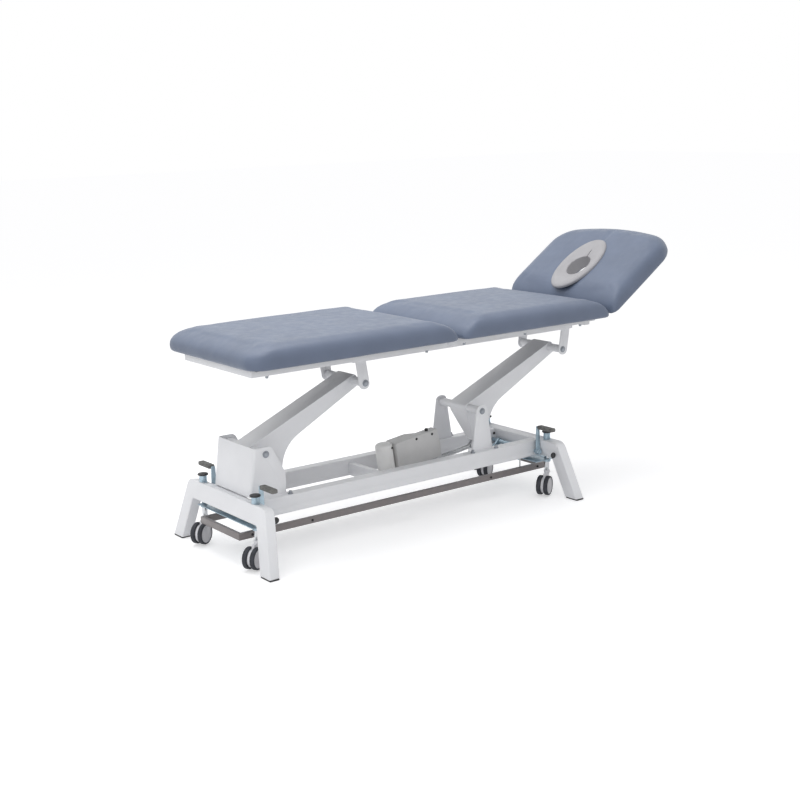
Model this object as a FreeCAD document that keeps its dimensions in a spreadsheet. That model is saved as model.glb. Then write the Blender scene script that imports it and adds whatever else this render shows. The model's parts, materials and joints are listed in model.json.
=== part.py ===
import FreeCAD, Part
import math
import os
import re
import Sketcher

# Height-adjustable treatment table: three padded sections on a parallel-arm lift.
# X runs along the table with the head end at +X, Y across it, Z up from the floor.
# The origin is on the floor under the middle of the whole table.

doc = FreeCAD.newDocument("treatment_table")
sheet = doc.addObject("Spreadsheet::Sheet", "Sizes")

# The driving dimensions, in millimetres and degrees
SIZES = {
    # Base: two leaning portals joined by two rails
    "base_middle": -284.1,
    "base_span": 1486.0,
    "base_width": 700.0,
    "portal_height": 235.0,
    "portal_crown": 545.0,
    "portal_depth": 41.0,
    "portal_lean": 9.0,
    "portal_round": 34.0,
    "beam_depth": 69.0,
    "foot_breadth": 66.0,
    "shoe_height": 6.0,
    "tube_edge": 4.0,
    "rail_low": 161.0,
    "rail_height": 65.0,
    "rail_width": 47.0,
    "rail_spread": 310.0,
    "rail_wall": 3.0,

    # Towers and the parallel lift arms
    "sheet_steel": 5.0,
    "tower_height": 410.0,
    "tower_spread": 262.0,
    "tower_front_reach": 46.0,
    "tower_front_slope": 25.0,
    "tower_back_reach": 78.0,
    "tower_fold": 12.0,
    "head_tower_foot": 52.0,
    "tower_crown": 24.0,
    "foot_pivot_out": 606.0,
    "pivot_spacing": 999.5,
    "pivot_height": 384.5,
    "pivot_shaft": 8.0,
    "pivot_washer": 13.0,
    "running_fit": 0.05,
    "side_play": 0.5,
    "arm_length": 481.6,
    "arm_rise": 23.54,
    "arm_width": 104.0,
    "arm_sheet": 4.0,
    "arm_tube": 16.0,
    "arm_tip_depth": 26.0,
    "flare_out": 111.0,
    "flare_depth": 56.0,
    "flare_round": 140.0,
    "tail_drop": 110.0,
    "tail_near": 14.0,
    "tail_far": 112.0,

    # Lever, push rod and drive
    "lever_slant": 19.5,
    "lever_start": 22.5,
    "lever_back": 120.0,
    "lever_front": 8.0,
    "lever_drop": 118.0,
    "lever_tip_front": 88.0,
    "lever_tip_back": 128.0,
    "lever_tip_width": 42.0,
    "lever_pin_along": 109.0,
    "lever_pin_drop": 144.0,
    "ear_thick": 6.0,
    "ear_round": 14.0,
    "clevis_pin": 6.0,
    "drive_tilt": 7.6,
    "rod_radius": 10.0,
    "eye_half": 8.0,
    "tube_radius": 19.0,
    "tube_mouth": 168.0,
    "tube_end": 400.0,
    "rod_end": 236.0,
    "gear_end": 470.0,
    "gear_half": 33.0,
    "gear_low": 28.0,
    "motor_along": 433.5,
    "motor_radius": 34.0,
    "motor_top": 141.0,
    "rear_eye": 504.0,
    "box_mouth": 184.0,
    "box_tail": 397.0,
    "box_top": 136.0,
    "box_near": 35.0,
    "box_far_wide": 34.0,
    "box_far_slim": 4.0,
    "box_step": 290.0,
    "gland_radius": 7.0,
    "slot_above": 24.0,
    "slot_below": 9.0,

    # Top frames
    "lug_spread": 254.0,
    "lug_width": 46.0,
    "lug_slant": 17.0,
    "beam_low": 661.0,
    "beam_height": 26.0,
    "beam_width": 26.0,
    "beam_spread": 274.0,
    "cross_height": 32.0,
    "frame_width": 473.0,
    "frame_tube": 26.0,
    "leg_frame_height": 32.0,
    "mid_frame_height": 25.0,
    "leg_frame_end": 710.0,
    "mid_frame_end": 881.0,
    "beam_foot_end": 222.0,
    "seat_hinge": 151.0,
    "head_hinge": 938.0,
    "hinge_below": 7.0,
    "hinge_pin": 5.0,
    "hinge_gap": 12.0,

    # Boards, upholstery and the face insert
    "board_thick": 12.0,
    "board_inset": 9.0,
    "cushion_gap": 0.3,
    "cushion_width": 650.0,
    "cushion_depth": 69.0,
    "cushion_round": 34.0,
    "corner_round": 62.0,
    "head_corner": 95.0,
    "leg_end": 757.0,
    "wedge_lean": 30.5,
    "head_length": 488.0,
    "head_bow": 1200.0,
    "head_rest_angle": 34.0,
    "face_centre": 200.0,
    "face_long": 158.0,
    "face_wide": 98.0,
    "sleeve_long": 118.0,
    "sleeve_wide": 72.0,
    "bowl_long": 136.0,
    "bowl_wide": 80.0,
    "bowl_depth": 12.0,
    "mouth_long": 60.0,
    "mouth_wide": 50.0,
    "mouth_along": 194.0,
    "slit_length": 38.0,
    "slit_width": 4.0,
    "slit_depth": 16.0,
    "insert_rise": 15.0,
    "insert_depth": 52.0,

    # Gas springs under the head and leg sections
    "head_spring_reach": 160.0,
    "head_spring_fixed": 208.0,
    "head_spring_moving": 30.0,
    "leg_spring_reach": 100.0,
    "leg_spring_fixed": 310.0,
    "leg_spring_moving": 50.0,
    "head_spring_side": 90.0,
    "head_spring_barrel": 170.0,
    "head_spring_stem": 208.0,
    "leg_spring_side": 88.0,
    "leg_spring_barrel": 102.0,
    "leg_spring_stem": 102.0,
    "spring_radius": 9.0,
    "piston_radius": 4.0,
    "spring_boss": 8.0,
    "spring_cheek": 4.5,

    # Foot control ring
    "ring_length": 1470.0,
    "ring_width": 280.0,
    "ring_low": 95.0,
    "ring_height": 25.0,
    "ring_thick": 14.0,
    "hanger_back": 65.0,
    "hanger_side": 133.0,
    "hanger_radius": 3.0,
    "hanger_top": 167.0,

    # Castors, carriages and pedals
    "stem_back": 53.0,
    "stem_side": 187.0,
    "stem_radius": 10.0,
    "stem_top": 259.0,
    "sleeve_radius": 14.0,
    "sleeve_low": 226.0,
    "carriage_travel": 15.0,
    "cap_radius": 20.0,
    "cap_thick": 7.0,
    "plate_low": 146.0,
    "plate_thick": 3.0,
    "flange_drop": 8.0,
    "plate_inward": 72.0,
    "plate_outward": 22.0,
    "plate_half": 200.0,
    "stem_low": 102.0,
    "wheel_radius": 40.0,
    "wheel_lift": 4.0,
    "wheel_width": 18.0,
    "wheel_gap": 13.0,
    "tyre_depth": 7.0,
    "tyre_round": 4.5,
    "disc_gap": 1.0,
    "disc_lip": 3.0,
    "disc_groove": 2.0,
    "disc_flat": 9.0,
    "axle_cover": 4.0,
    "trail": 32.0,
    "castor_turn": 208.0,
    "axle_radius": 4.0,
    "shaft_back": 35.0,
    "shaft_height": 182.0,
    "shaft_radius": 8.0,
    "cam_reach": 39.0,
    "cam_round": 5.0,
    "cam_angle": 34.0,
    "cam_side": 70.0,
    "cam_width": 10.0,
    "lever_side": 168.0,
    "lever_thick": 5.0,
    "lever_width": 16.0,
    "lever_root": 20.0,
    "pedal_boss": 12.0,
    "boss_length": 8.0,
    "lever_height": 288.0,
    "pedal_length": 92.0,
    "pedal_width": 26.0,
    "pedal_thick": 14.0,
    "pedal_corner": 7.0,
    "pedal_edge": 3.0,
    "pad_start": 5.0,
}

# Places that follow from the sizes above, each in terms of the ones after it
FOLLOWS = {
    "cushion_top": "frame_top + board_thick + cushion_depth",
    "hinge_height": "frame_top - hinge_below",
    "frame_top": "beam_low + beam_height + cross_height",
    "hanger_out": "shaft_out - hanger_back",
    "plate_inner": "stem_out - plate_inward",
    "plate_outer": "stem_out + plate_outward",
    "shaft_out": "stem_out - shaft_back",
    "stem_out": "base_span / 2 - stem_back",
}

for row, (alias, number) in enumerate(SIZES.items(), start=1):
    sheet.set("A" + str(row), alias.replace("_", " "))
    sheet.set("B" + str(row), str(number))
    sheet.setAlias("B" + str(row), alias)
doc.recompute()

nodes = []
WORD = re.compile(r"[a-z][a-z_]*")
AXIS_X = FreeCAD.Vector(1, 0, 0)
AXIS_Y = FreeCAD.Vector(0, 1, 0)
AXIS_Z = FreeCAD.Vector(0, 0, 1)
UPRIGHT = {"Z": FreeCAD.Rotation(), "X": FreeCAD.Rotation(AXIS_Y, 90), "Y": FreeCAD.Rotation(AXIS_X, -90)}


def bound(text):
    """Writes a formula of size names as the document reads it."""
    text = str(text)
    for name, formula in FOLLOWS.items():
        text = re.sub(r"\b" + name + r"\b", "(" + formula + ")", text)
    return WORD.sub(lambda word: "Sizes." + word.group() if word.group() in SIZES else word.group(), text)


def bind(thing, prop, text):
    thing.setExpression(prop, bound(text))


def value(text):
    return float(sheet.evalExpression(bound(text)))


def node(thing, label):
    """Keeps a finished sub-part under the name of its file."""
    thing.Label = label
    nodes.append(thing)
    return thing


def place(thing, x="0", y="0", z="0", turn=None):
    if turn is not None:
        thing.Placement = FreeCAD.Placement(FreeCAD.Vector(), turn)
    bind(thing, "Placement.Base.x", x)
    bind(thing, "Placement.Base.y", y)
    bind(thing, "Placement.Base.z", z)
    return thing


def block(name, x, y, z):
    """A box from pairs of low and high formulas."""
    thing = doc.addObject("Part::Box", name)
    for prop, (low, high) in zip(("Length", "Width", "Height"), (x, y, z)):
        bind(thing, prop, "(" + high + ") - (" + low + ")")
    return place(thing, x[0], y[0], z[0])


def rod(name, radius, axis, low, high, first="0", second="0"):
    """A cylinder along one axis; first and second place it across that axis."""
    thing = doc.addObject("Part::Cylinder", name)
    bind(thing, "Radius", radius)
    bind(thing, "Height", "(" + high + ") - (" + low + ")")
    spot = {"X": (low, first, second), "Y": (first, low, second), "Z": (first, second, low)}[axis]
    return place(thing, *spot, turn=UPRIGHT[axis])


def join(name, parts):
    thing = doc.addObject("Part::MultiFuse", name)
    thing.Shapes = parts
    return thing


def group(name, parts):
    """Separate solids that share one node."""
    thing = doc.addObject("Part::Compound", name)
    thing.Links = parts
    return thing


def cut(name, base, tools):
    thing = doc.addObject("Part::Cut", name)
    thing.Base = base
    thing.Tool = tools[0] if len(tools) == 1 else join(name + "_tools", tools)
    return thing


def body(name):
    return doc.addObject("PartDesign::Body", name)


def sketch(owner, name, plane, offset="0"):
    """A sketch on one of its body's own planes, moved along the plane's normal."""
    drawing = owner.newObject("Sketcher::SketchObject", name)
    face = [item for item in owner.Origin.OriginFeatures if item.Role == plane + "_Plane"][0]
    drawing.AttachmentSupport = [(face, "")]
    drawing.MapMode = "FlatFace"
    bind(drawing, "AttachmentOffset.Base.z", offset)
    return drawing


def measure(drawing, kind, line, end, text):
    """Holds one coordinate of a point at a formula, or on an axis where it is nought."""
    if str(text) == "0":
        drawing.addConstraint(Sketcher.Constraint("PointOnObject", line, end, -2 if kind == "DistanceX" else -1))
        return
    index = drawing.addConstraint(Sketcher.Constraint(kind, -1, 1, line, end, value(text)))
    bind(drawing, "Constraints[" + str(index) + "]", text)


def outline(drawing, corners):
    """A closed outline of straight sides through bound corners."""
    spots = [FreeCAD.Vector(value(x), value(y), 0) for x, y in corners]
    first = drawing.GeometryCount
    count = len(spots)
    for index in range(count):
        drawing.addGeometry(Part.LineSegment(spots[index], spots[(index + 1) % count]), False)
    for index in range(count):
        drawing.addConstraint(
            Sketcher.Constraint("Coincident", first + index, 2, first + (index + 1) % count, 1))
    for index, (x, y) in enumerate(corners):
        measure(drawing, "DistanceX", first + index, 1, x)
        measure(drawing, "DistanceY", first + index, 1, y)
    return drawing


def rectangle(drawing, x, y):
    return outline(drawing, [(x[0], y[0]), (x[1], y[0]), (x[1], y[1]), (x[0], y[1])])


def circle(drawing, x, y, radius):
    line = drawing.addGeometry(Part.Circle(FreeCAD.Vector(value(x), value(y), 0), AXIS_Z, value(radius)), False)
    index = drawing.addConstraint(Sketcher.Constraint("Radius", line, value(radius)))
    bind(drawing, "Constraints[" + str(index) + "]", radius)
    measure(drawing, "DistanceX", line, 3, x)
    measure(drawing, "DistanceY", line, 3, y)
    return drawing


def pad(owner, drawing, length, both=False, back=False):
    feature = owner.newObject("PartDesign::Pad", drawing.Name + "_pad")
    feature.Profile = drawing
    bind(feature, "Length", length)
    feature.Midplane = both
    feature.Reversed = back
    return feature


def pocket(owner, drawing, length=None, both=True, back=False):
    """Cuts to a depth, or through everything when no depth is given."""
    doc.recompute()
    before = owner.Tip.Shape.Volume
    feature = owner.newObject("PartDesign::Pocket", drawing.Name + "_pocket")
    feature.Profile = drawing
    if length is None:
        feature.Type = "ThroughAll"
    else:
        bind(feature, "Length", length)
    feature.Midplane = both
    feature.Reversed = back
    doc.recompute()
    if not feature.Shape.Volume < before:
        raise ValueError(drawing.Name + " cuts nothing")
    return feature


def turned(owner, drawing, axis="V_Axis"):
    feature = owner.newObject("PartDesign::Revolution", drawing.Name + "_turned")
    feature.Profile = drawing
    feature.ReferenceAxis = (drawing, [axis])
    feature.Angle = 360
    return feature


def round_edges(owner, name, radius, chosen):
    """Rounds the edges of the body's last feature that the test picks."""
    doc.recompute()
    last = owner.Tip
    names = ["Edge" + str(index + 1) for index, edge in enumerate(last.Shape.Edges) if chosen(edge)]
    if not names:
        raise ValueError(name + " finds no edge")
    feature = owner.newObject("PartDesign::Fillet", name)
    feature.Base = (last, names)
    bind(feature, "Radius", radius)
    return feature


def middle(edge):
    return edge.CenterOfMass


def along(edge, axis):
    """True for a straight edge that runs along an axis."""
    if len(edge.Vertexes) != 2:
        return False
    run = edge.Vertexes[1].Point - edge.Vertexes[0].Point
    return run.Length > 0 and abs(abs(run.dot(axis)) - run.Length) < 0.001


def near(one, other):
    return abs(one - other) < 0.05


def circled(edge, radius):
    """True for a full circle of one radius."""
    return len(edge.Vertexes) == 1 and hasattr(edge.Curve, "Radius") and near(edge.Curve.Radius, value(radius))


# The slant of the portals and what follows from it

HALF_SPAN = "(base_span / 2)"
HALF_WIDTH = "(base_width / 2)"
HALF_CROWN = "(portal_crown / 2)"
RAIL_TOP = "(rail_low + rail_height)"
RAIL_OUT = "(rail_spread / 2)"
RAIL_IN = "(rail_spread / 2 - rail_width)"
SLOPE = "tan(portal_lean)"
TALL = "(portal_height / cos(portal_lean))"
BEAM_UNDER = "(" + TALL + " - beam_depth)"
SPLAY = "((base_width - portal_crown) / 2 / " + TALL + ")"


def inner_face(height):
    """How far out the portals' inner face stands at a height."""
    return "(" + HALF_SPAN + " - portal_depth / cos(portal_lean) - (" + height + ") * " + SLOPE + ")"


def foot_x(out):
    return "(base_middle - (" + out + "))"


def head_x(out):
    return "(base_middle + (" + out + "))"


END_X = {"foot": foot_x, "head": head_x}
END_SIGN = {"foot": -1, "head": 1}


def portal(end):
    """An inverted U of rectangular tube that leans towards the middle of the base."""
    frame = body(end + "_portal_body")
    face = sketch(frame, end + "_portal_outline", "YZ")
    inner_foot = "(" + HALF_WIDTH + " - foot_breadth)"
    inner_top = "(" + HALF_WIDTH + " - foot_breadth - " + BEAM_UNDER + " * " + SPLAY + ")"
    right = [(HALF_WIDTH, "0"), (HALF_CROWN, TALL)]
    left = [("-" + HALF_CROWN, TALL), ("-" + HALF_WIDTH, "0")]
    hollow = [("-" + inner_foot, "0"), ("-" + inner_top, BEAM_UNDER), (inner_top, BEAM_UNDER), (inner_foot, "0")]
    outline(face, right + left + hollow)
    pad(frame, face, "portal_depth")
    crown = value(TALL)
    under = value(BEAM_UNDER)
    round_edges(frame, end + "_portal_shoulders", "portal_round",
                lambda edge: along(edge, AXIS_X) and near(middle(edge).z, crown))
    round_edges(frame, end + "_portal_armpits", "tube_edge * 2",
                lambda edge: along(edge, AXIS_X) and near(middle(edge).z, under))
    round_edges(frame, end + "_portal_edges", "tube_edge",
                lambda edge: not along(edge, AXIS_X) and middle(edge).z > 1)
    trim = sketch(frame, end + "_portal_trim", "XZ")
    floor = "(shoe_height / cos(portal_lean))"
    outline(trim, [("0 - portal_depth", "0 - portal_depth"), ("portal_depth * 2", "0 - portal_depth"),
                   ("portal_depth * 2", floor + " + 2 * portal_depth * " + SLOPE),
                   ("0 - portal_depth", floor + " - portal_depth * " + SLOPE)])
    pocket(frame, trim)
    lean = FreeCAD.Rotation(AXIS_Y, value("portal_lean"))
    turn = lean if end == "foot" else FreeCAD.Rotation(AXIS_Z, 180).multiply(lean)
    place(frame, END_X[end](HALF_SPAN), turn=turn)
    stems = [rod(end + "_stem_bore" + str(side), "stem_radius + running_fit", "Z", "rail_low - portal_depth",
                 "portal_height * 2", END_X[end]("stem_out"), str(side) + " * stem_side") for side in (-1, 1)]
    stems += [rod(end + "_sleeve_bore" + str(side), "sleeve_radius + running_fit", "Z",
                  "sleeve_low - carriage_travel - 1", "portal_height * 2", END_X[end]("stem_out"),
                  str(side) + " * stem_side") for side in (-1, 1)]
    return node(cut(end + "_portal_bored", frame, stems), end + "_portal")


def shoes():
    """Rubber shoes under the four feet, each cut to the slant of its leg."""
    pieces = []
    for end in ("foot", "head"):
        for side in (-1, 1):
            name = end + "_shoe" + ("_near" if side < 0 else "_far")
            shoe = body(name)
            ground = sketch(shoe, name + "_outline", "XY")
            inner = inner_face("0")
            sign = str(END_SIGN[end])
            far_y = str(side) + " * (" + HALF_WIDTH + " - tube_edge / 2)"
            near_y = str(side) + " * (" + HALF_WIDTH + " - foot_breadth + tube_edge / 2)"
            rectangle(ground, (sign + " * (" + inner + " + tube_edge / 2)",
                               sign + " * (" + HALF_SPAN + " - tube_edge / 2)"), (near_y, far_y))
            pad(shoe, ground, "shoe_height")
            place(shoe, "base_middle")
            pieces.append(shoe)
    return node(group("shoes", pieces), "rubber_feet")


def rail(side, label):
    """A hollow side rail whose slanted ends meet the leaning portals."""
    bar = body(label + "_body")
    flank = sketch(bar, label + "_flank", "XZ", str(-side) + " * (" + RAIL_OUT + " - rail_width / 2)")
    low = inner_face("rail_low")
    high = inner_face(RAIL_TOP)
    outline(flank, [("-" + low, "rail_low"), (low, "rail_low"), (high, RAIL_TOP), ("-" + high, RAIL_TOP)])
    pad(bar, flank, "rail_width", both=True)
    round_edges(bar, label + "_edges", "tube_edge", lambda edge: along(edge, AXIS_X))
    inside = sketch(bar, label + "_inside", "YZ")
    centre = str(side) + " * (" + RAIL_OUT + " - rail_width / 2)"
    half = "(rail_width / 2 - rail_wall)"
    rectangle(inside, (centre + " - " + half, centre + " + " + half),
              ("rail_low + rail_wall", RAIL_TOP + " - rail_wall"))
    pocket(bar, inside)
    place(bar, "base_middle")
    bores = []
    for end in ("foot", "head"):
        bores.append(rod(label + end + "_shaft_bore", "shaft_radius + running_fit", "Y",
                         str(side) + " * " + RAIL_OUT + " - rail_width * 2",
                         str(side) + " * " + RAIL_OUT + " + rail_width * 2", END_X[end]("shaft_out"), "shaft_height"))
        bores.append(rod(label + end + "_hanger_bore", "hanger_radius + side_play", "Z", "rail_low - rail_wall",
                         "rail_low + rail_wall * 2", END_X[end]("hanger_out"), str(side) + " * hanger_side"))
    return node(cut(label + "_bored", bar, bores), label)


# Towers

FOOT_PIVOT = "(base_middle - foot_pivot_out)"
HEAD_PIVOT = "(base_middle - foot_pivot_out + pivot_spacing)"
PIVOT_X = {"foot": FOOT_PIVOT, "head": HEAD_PIVOT}
TOWER_OUT = "(tower_spread / 2)"
TOWER_IN = "(tower_spread / 2 - sheet_steel)"
RISE_X = "(arm_length * cos(arm_rise))"
RISE_Z = "(arm_length * sin(arm_rise))"


def foot_tower():
    """Folded sheet housing: a leaning front and two cheeks that carry the lower pivot."""
    tower = body("foot_tower_body")
    flank = sketch(tower, "foot_tower_flank", "XZ")
    front_top = "(0 - tower_front_reach)"
    front_low = "(0 - tower_front_reach - tower_front_slope)"
    outline(flank, [(front_low, RAIL_TOP), (front_top, "tower_height"), ("tower_crown", "tower_height"),
                    ("tower_back_reach", "pivot_height - tower_back_reach"), ("tower_back_reach", RAIL_TOP)])
    pad(tower, flank, "tower_spread", both=True)
    top = value("tower_height")
    back = value("tower_back_reach")
    round_edges(tower, "foot_tower_crown", "tower_crown",
                lambda edge: along(edge, AXIS_Y) and middle(edge).x > 0 and near(middle(edge).z, top))
    round_edges(tower, "foot_tower_folds", "tower_fold",
                lambda edge: middle(edge).x < value(front_top) and not along(edge, AXIS_Y)
                and abs(middle(edge).y) > 1 and not along(edge, AXIS_X))
    hollow = sketch(tower, "foot_tower_hollow", "XZ")
    step = "sheet_steel"
    outline(hollow, [(front_low + " - tower_front_slope + " + step, RAIL_TOP + " - (tower_height - " + RAIL_TOP + ")"),
                     (front_top + " + tower_front_slope + " + step, "2 * tower_height - " + RAIL_TOP),
                     ("tower_back_reach * 2", "2 * tower_height - " + RAIL_TOP),
                     ("tower_back_reach * 2", RAIL_TOP + " - (tower_height - " + RAIL_TOP + ")")])
    pocket(tower, hollow, "tower_spread - 2 * sheet_steel")
    notch = sketch(tower, "foot_tower_notch", "XZ")
    seat = "(portal_height + cushion_gap)"
    low_x = "(foot_pivot_out - " + inner_face("0") + " + cushion_gap)"
    high_x = "(foot_pivot_out - " + inner_face(seat) + " + cushion_gap)"
    outline(notch, [("0 - base_width", "0"), (low_x, "0"), (high_x, seat), ("0 - base_width", seat)])
    pocket(tower, notch)
    bore = sketch(tower, "foot_tower_bore", "XZ")
    circle(bore, "0", "pivot_height", "pivot_shaft")
    pocket(tower, bore)
    place(tower, FOOT_PIVOT)
    return node(tower, "foot_tower")


def head_tower_cheek(side, label):
    """A tapered upright plate with a rounded crown round the pivot."""
    cheek = body(label + "_body")
    flank = sketch(cheek, label + "_flank", "XZ", str(-side) + " * (" + TOWER_OUT + " - sheet_steel / 2)")
    high = "pivot_height + tower_crown"
    outline(flank, [("0 - head_tower_foot", RAIL_TOP), ("0 - tower_crown", high), ("tower_crown", high),
                    ("head_tower_foot", RAIL_TOP)])
    pad(cheek, flank, "sheet_steel", both=True)
    top = value(high)
    round_edges(cheek, label + "_crown", "tower_crown * 0.9",
                lambda edge: along(edge, AXIS_Y) and near(middle(edge).z, top))
    bore = sketch(cheek, label + "_bore", "XZ")
    circle(bore, "0", "pivot_height", "pivot_shaft")
    pocket(cheek, bore)
    place(cheek, HEAD_PIVOT)
    return node(cheek, label)


def pivot_shaft(name, half, x, z):
    """A shaft with a washer and a domed head at each end, turned round the Y axis."""
    shaft = body(name)
    half_profile = sketch(shaft, name + "_profile", "XY")
    washer = "(" + half + " + 2)"
    head = "(" + half + " + 8)"
    outline(half_profile, [("0", "-" + head), ("pivot_shaft * 0.7", "-" + head),
                           ("pivot_shaft + 1", "-" + head + " + 2"), ("pivot_shaft + 1", "-" + washer),
                           ("pivot_washer", "-" + washer), ("pivot_washer", "-" + half), ("pivot_shaft", "-" + half),
                           ("pivot_shaft", half), ("pivot_washer", half), ("pivot_washer", washer),
                           ("pivot_shaft + 1", washer), ("pivot_shaft + 1", head + " - 2"),
                           ("pivot_shaft * 0.7", head), ("0", head)])
    turned(shaft, half_profile)
    return place(shaft, x, "0", z)


def lower_shafts():
    pair = [pivot_shaft(end + "_lower_shaft", TOWER_OUT, PIVOT_X[end], "pivot_height") for end in ("foot", "head")]
    return node(group("lower_shafts", pair), "lower_pivot_shafts")


def upper_shafts():
    half = "(lug_spread / 2)"
    pair = [pivot_shaft(end + "_upper_shaft", half, PIVOT_X[end] + " + " + RISE_X, "pivot_height + " + RISE_Z)
            for end in ("foot", "head")]
    return node(group("upper_shafts", pair), "upper_pivot_shafts")


# Lift arms, drawn along their own length and then raised about the lower pivot

def turned_in(x, z):
    """A point given upright from the pivot, as the arm's own two coordinates."""
    first = "((" + x + ") * cos(arm_rise) + (" + z + ") * sin(arm_rise))"
    second = "((" + z + ") * cos(arm_rise) - (" + x + ") * sin(arm_rise))"
    return (first, second)


def lift_arm(end):
    """Folded sheet arm: a cover and two cheeks that flare into a boomerang at the lower pivot."""
    arm = body(end + "_lift_arm_body")
    flank = sketch(arm, end + "_arm_flank", "XZ")
    inner = "(arm_tube + side_play)"
    top = "(arm_tube + side_play + arm_sheet)"
    start = "(0 - arm_tube - side_play - arm_sheet)"
    tip = "(arm_length + arm_tube + arm_sheet / 2)"
    if end == "foot":
        tail = [turned_in("tail_far", "0 - tail_drop"), turned_in("tail_near", "0 - tail_drop")]
    else:
        tail = [turned_in(*lever_point("lever_back", "0 - lever_start")),
                turned_in(*lever_point("0 - lever_front", "0 - lever_start"))]
    outline(flank, [(start, top), (tip, top), (tip, "0 - arm_tip_depth"), ("flare_out", "0 - flare_depth")]
            + tail + [(start, "0 - arm_tube / 2")])
    pad(arm, flank, "arm_width", both=True)
    flare = value("flare_out")
    far_end = value(tip)
    near_end = value(start)
    round_edges(arm, end + "_arm_flare", "flare_round",
                lambda edge: along(edge, AXIS_Y) and near(middle(edge).x, flare))
    round_edges(arm, end + "_arm_tip", "arm_tube * 0.8",
                lambda edge: along(edge, AXIS_Y) and (near(middle(edge).x, far_end)))
    round_edges(arm, end + "_arm_nose", "arm_tube * 0.8",
                lambda edge: along(edge, AXIS_Y) and near(middle(edge).x, near_end) and middle(edge).z > 0)
    hollow = sketch(arm, end + "_arm_hollow", "XZ")
    reach = "(arm_length * 2)"
    tail_x, tail_z = tail[1]
    outline(hollow, [("0 - " + inner, inner), (reach, inner), (reach, "0 - arm_length"),
                     (tail_x + " + arm_sheet", "0 - arm_length"), (tail_x + " + arm_sheet", tail_z),
                     ("0 - " + inner, "0 - arm_tube / 2")])
    pocket(arm, hollow, "arm_width - 2 * arm_sheet")
    bores = sketch(arm, end + "_arm_bores", "XZ")
    circle(bores, "0", "0", "arm_tube")
    circle(bores, "arm_length", "0", "arm_tube")
    pocket(arm, bores)
    place(arm, PIVOT_X[end], "0", "pivot_height", turn=FreeCAD.Rotation(AXIS_Y, -value("arm_rise")))
    return node(arm, end + "_lift_arm")


def lever_point(x, z):
    """A point in the lever's slanted frame, given upright from the head pivot."""
    first = "((" + x + ") * cos(lever_slant) + (" + z + ") * sin(lever_slant))"
    second = "((" + z + ") * cos(lever_slant) - (" + x + ") * sin(lever_slant))"
    return (first, second)


def arm_tubes(end):
    """The two cross tubes that an arm turns on, bored for the pivot shafts."""
    lower = rod(end + "_lower_tube", "arm_tube", "Y", "side_play - " + TOWER_IN, TOWER_IN + " - side_play",
                PIVOT_X[end], "pivot_height")
    lug_in = "(lug_spread / 2 - sheet_steel - side_play)"
    high_x = PIVOT_X[end] + " + " + RISE_X
    high_z = "pivot_height + " + RISE_Z
    upper = rod(end + "_upper_tube", "arm_tube", "Y", "-" + lug_in, lug_in, high_x, high_z)
    bore = "pivot_shaft + running_fit"
    low_bore = rod(end + "_lower_tube_bore", bore, "Y", "-" + TOWER_OUT, TOWER_OUT, PIVOT_X[end], "pivot_height")
    high_bore = rod(end + "_upper_tube_bore", bore, "Y", "-" + TOWER_OUT, TOWER_OUT, high_x, high_z)
    pair = [cut(end + "_lower_tube_bored", lower, [low_bore]), cut(end + "_upper_tube_bored", upper, [high_bore])]
    return node(group(end + "_tubes", pair), end + "_arm_tubes")


LEVER_TURN = FreeCAD.Rotation(AXIS_Y, value("lever_slant"))
PIN_X, PIN_Z = lever_point("lever_pin_along", "0 - lever_pin_drop")
CLEVIS_X = "(" + HEAD_PIVOT + " + " + PIN_X + ")"
CLEVIS_Z = "(pivot_height + " + PIN_Z + ")"


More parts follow.
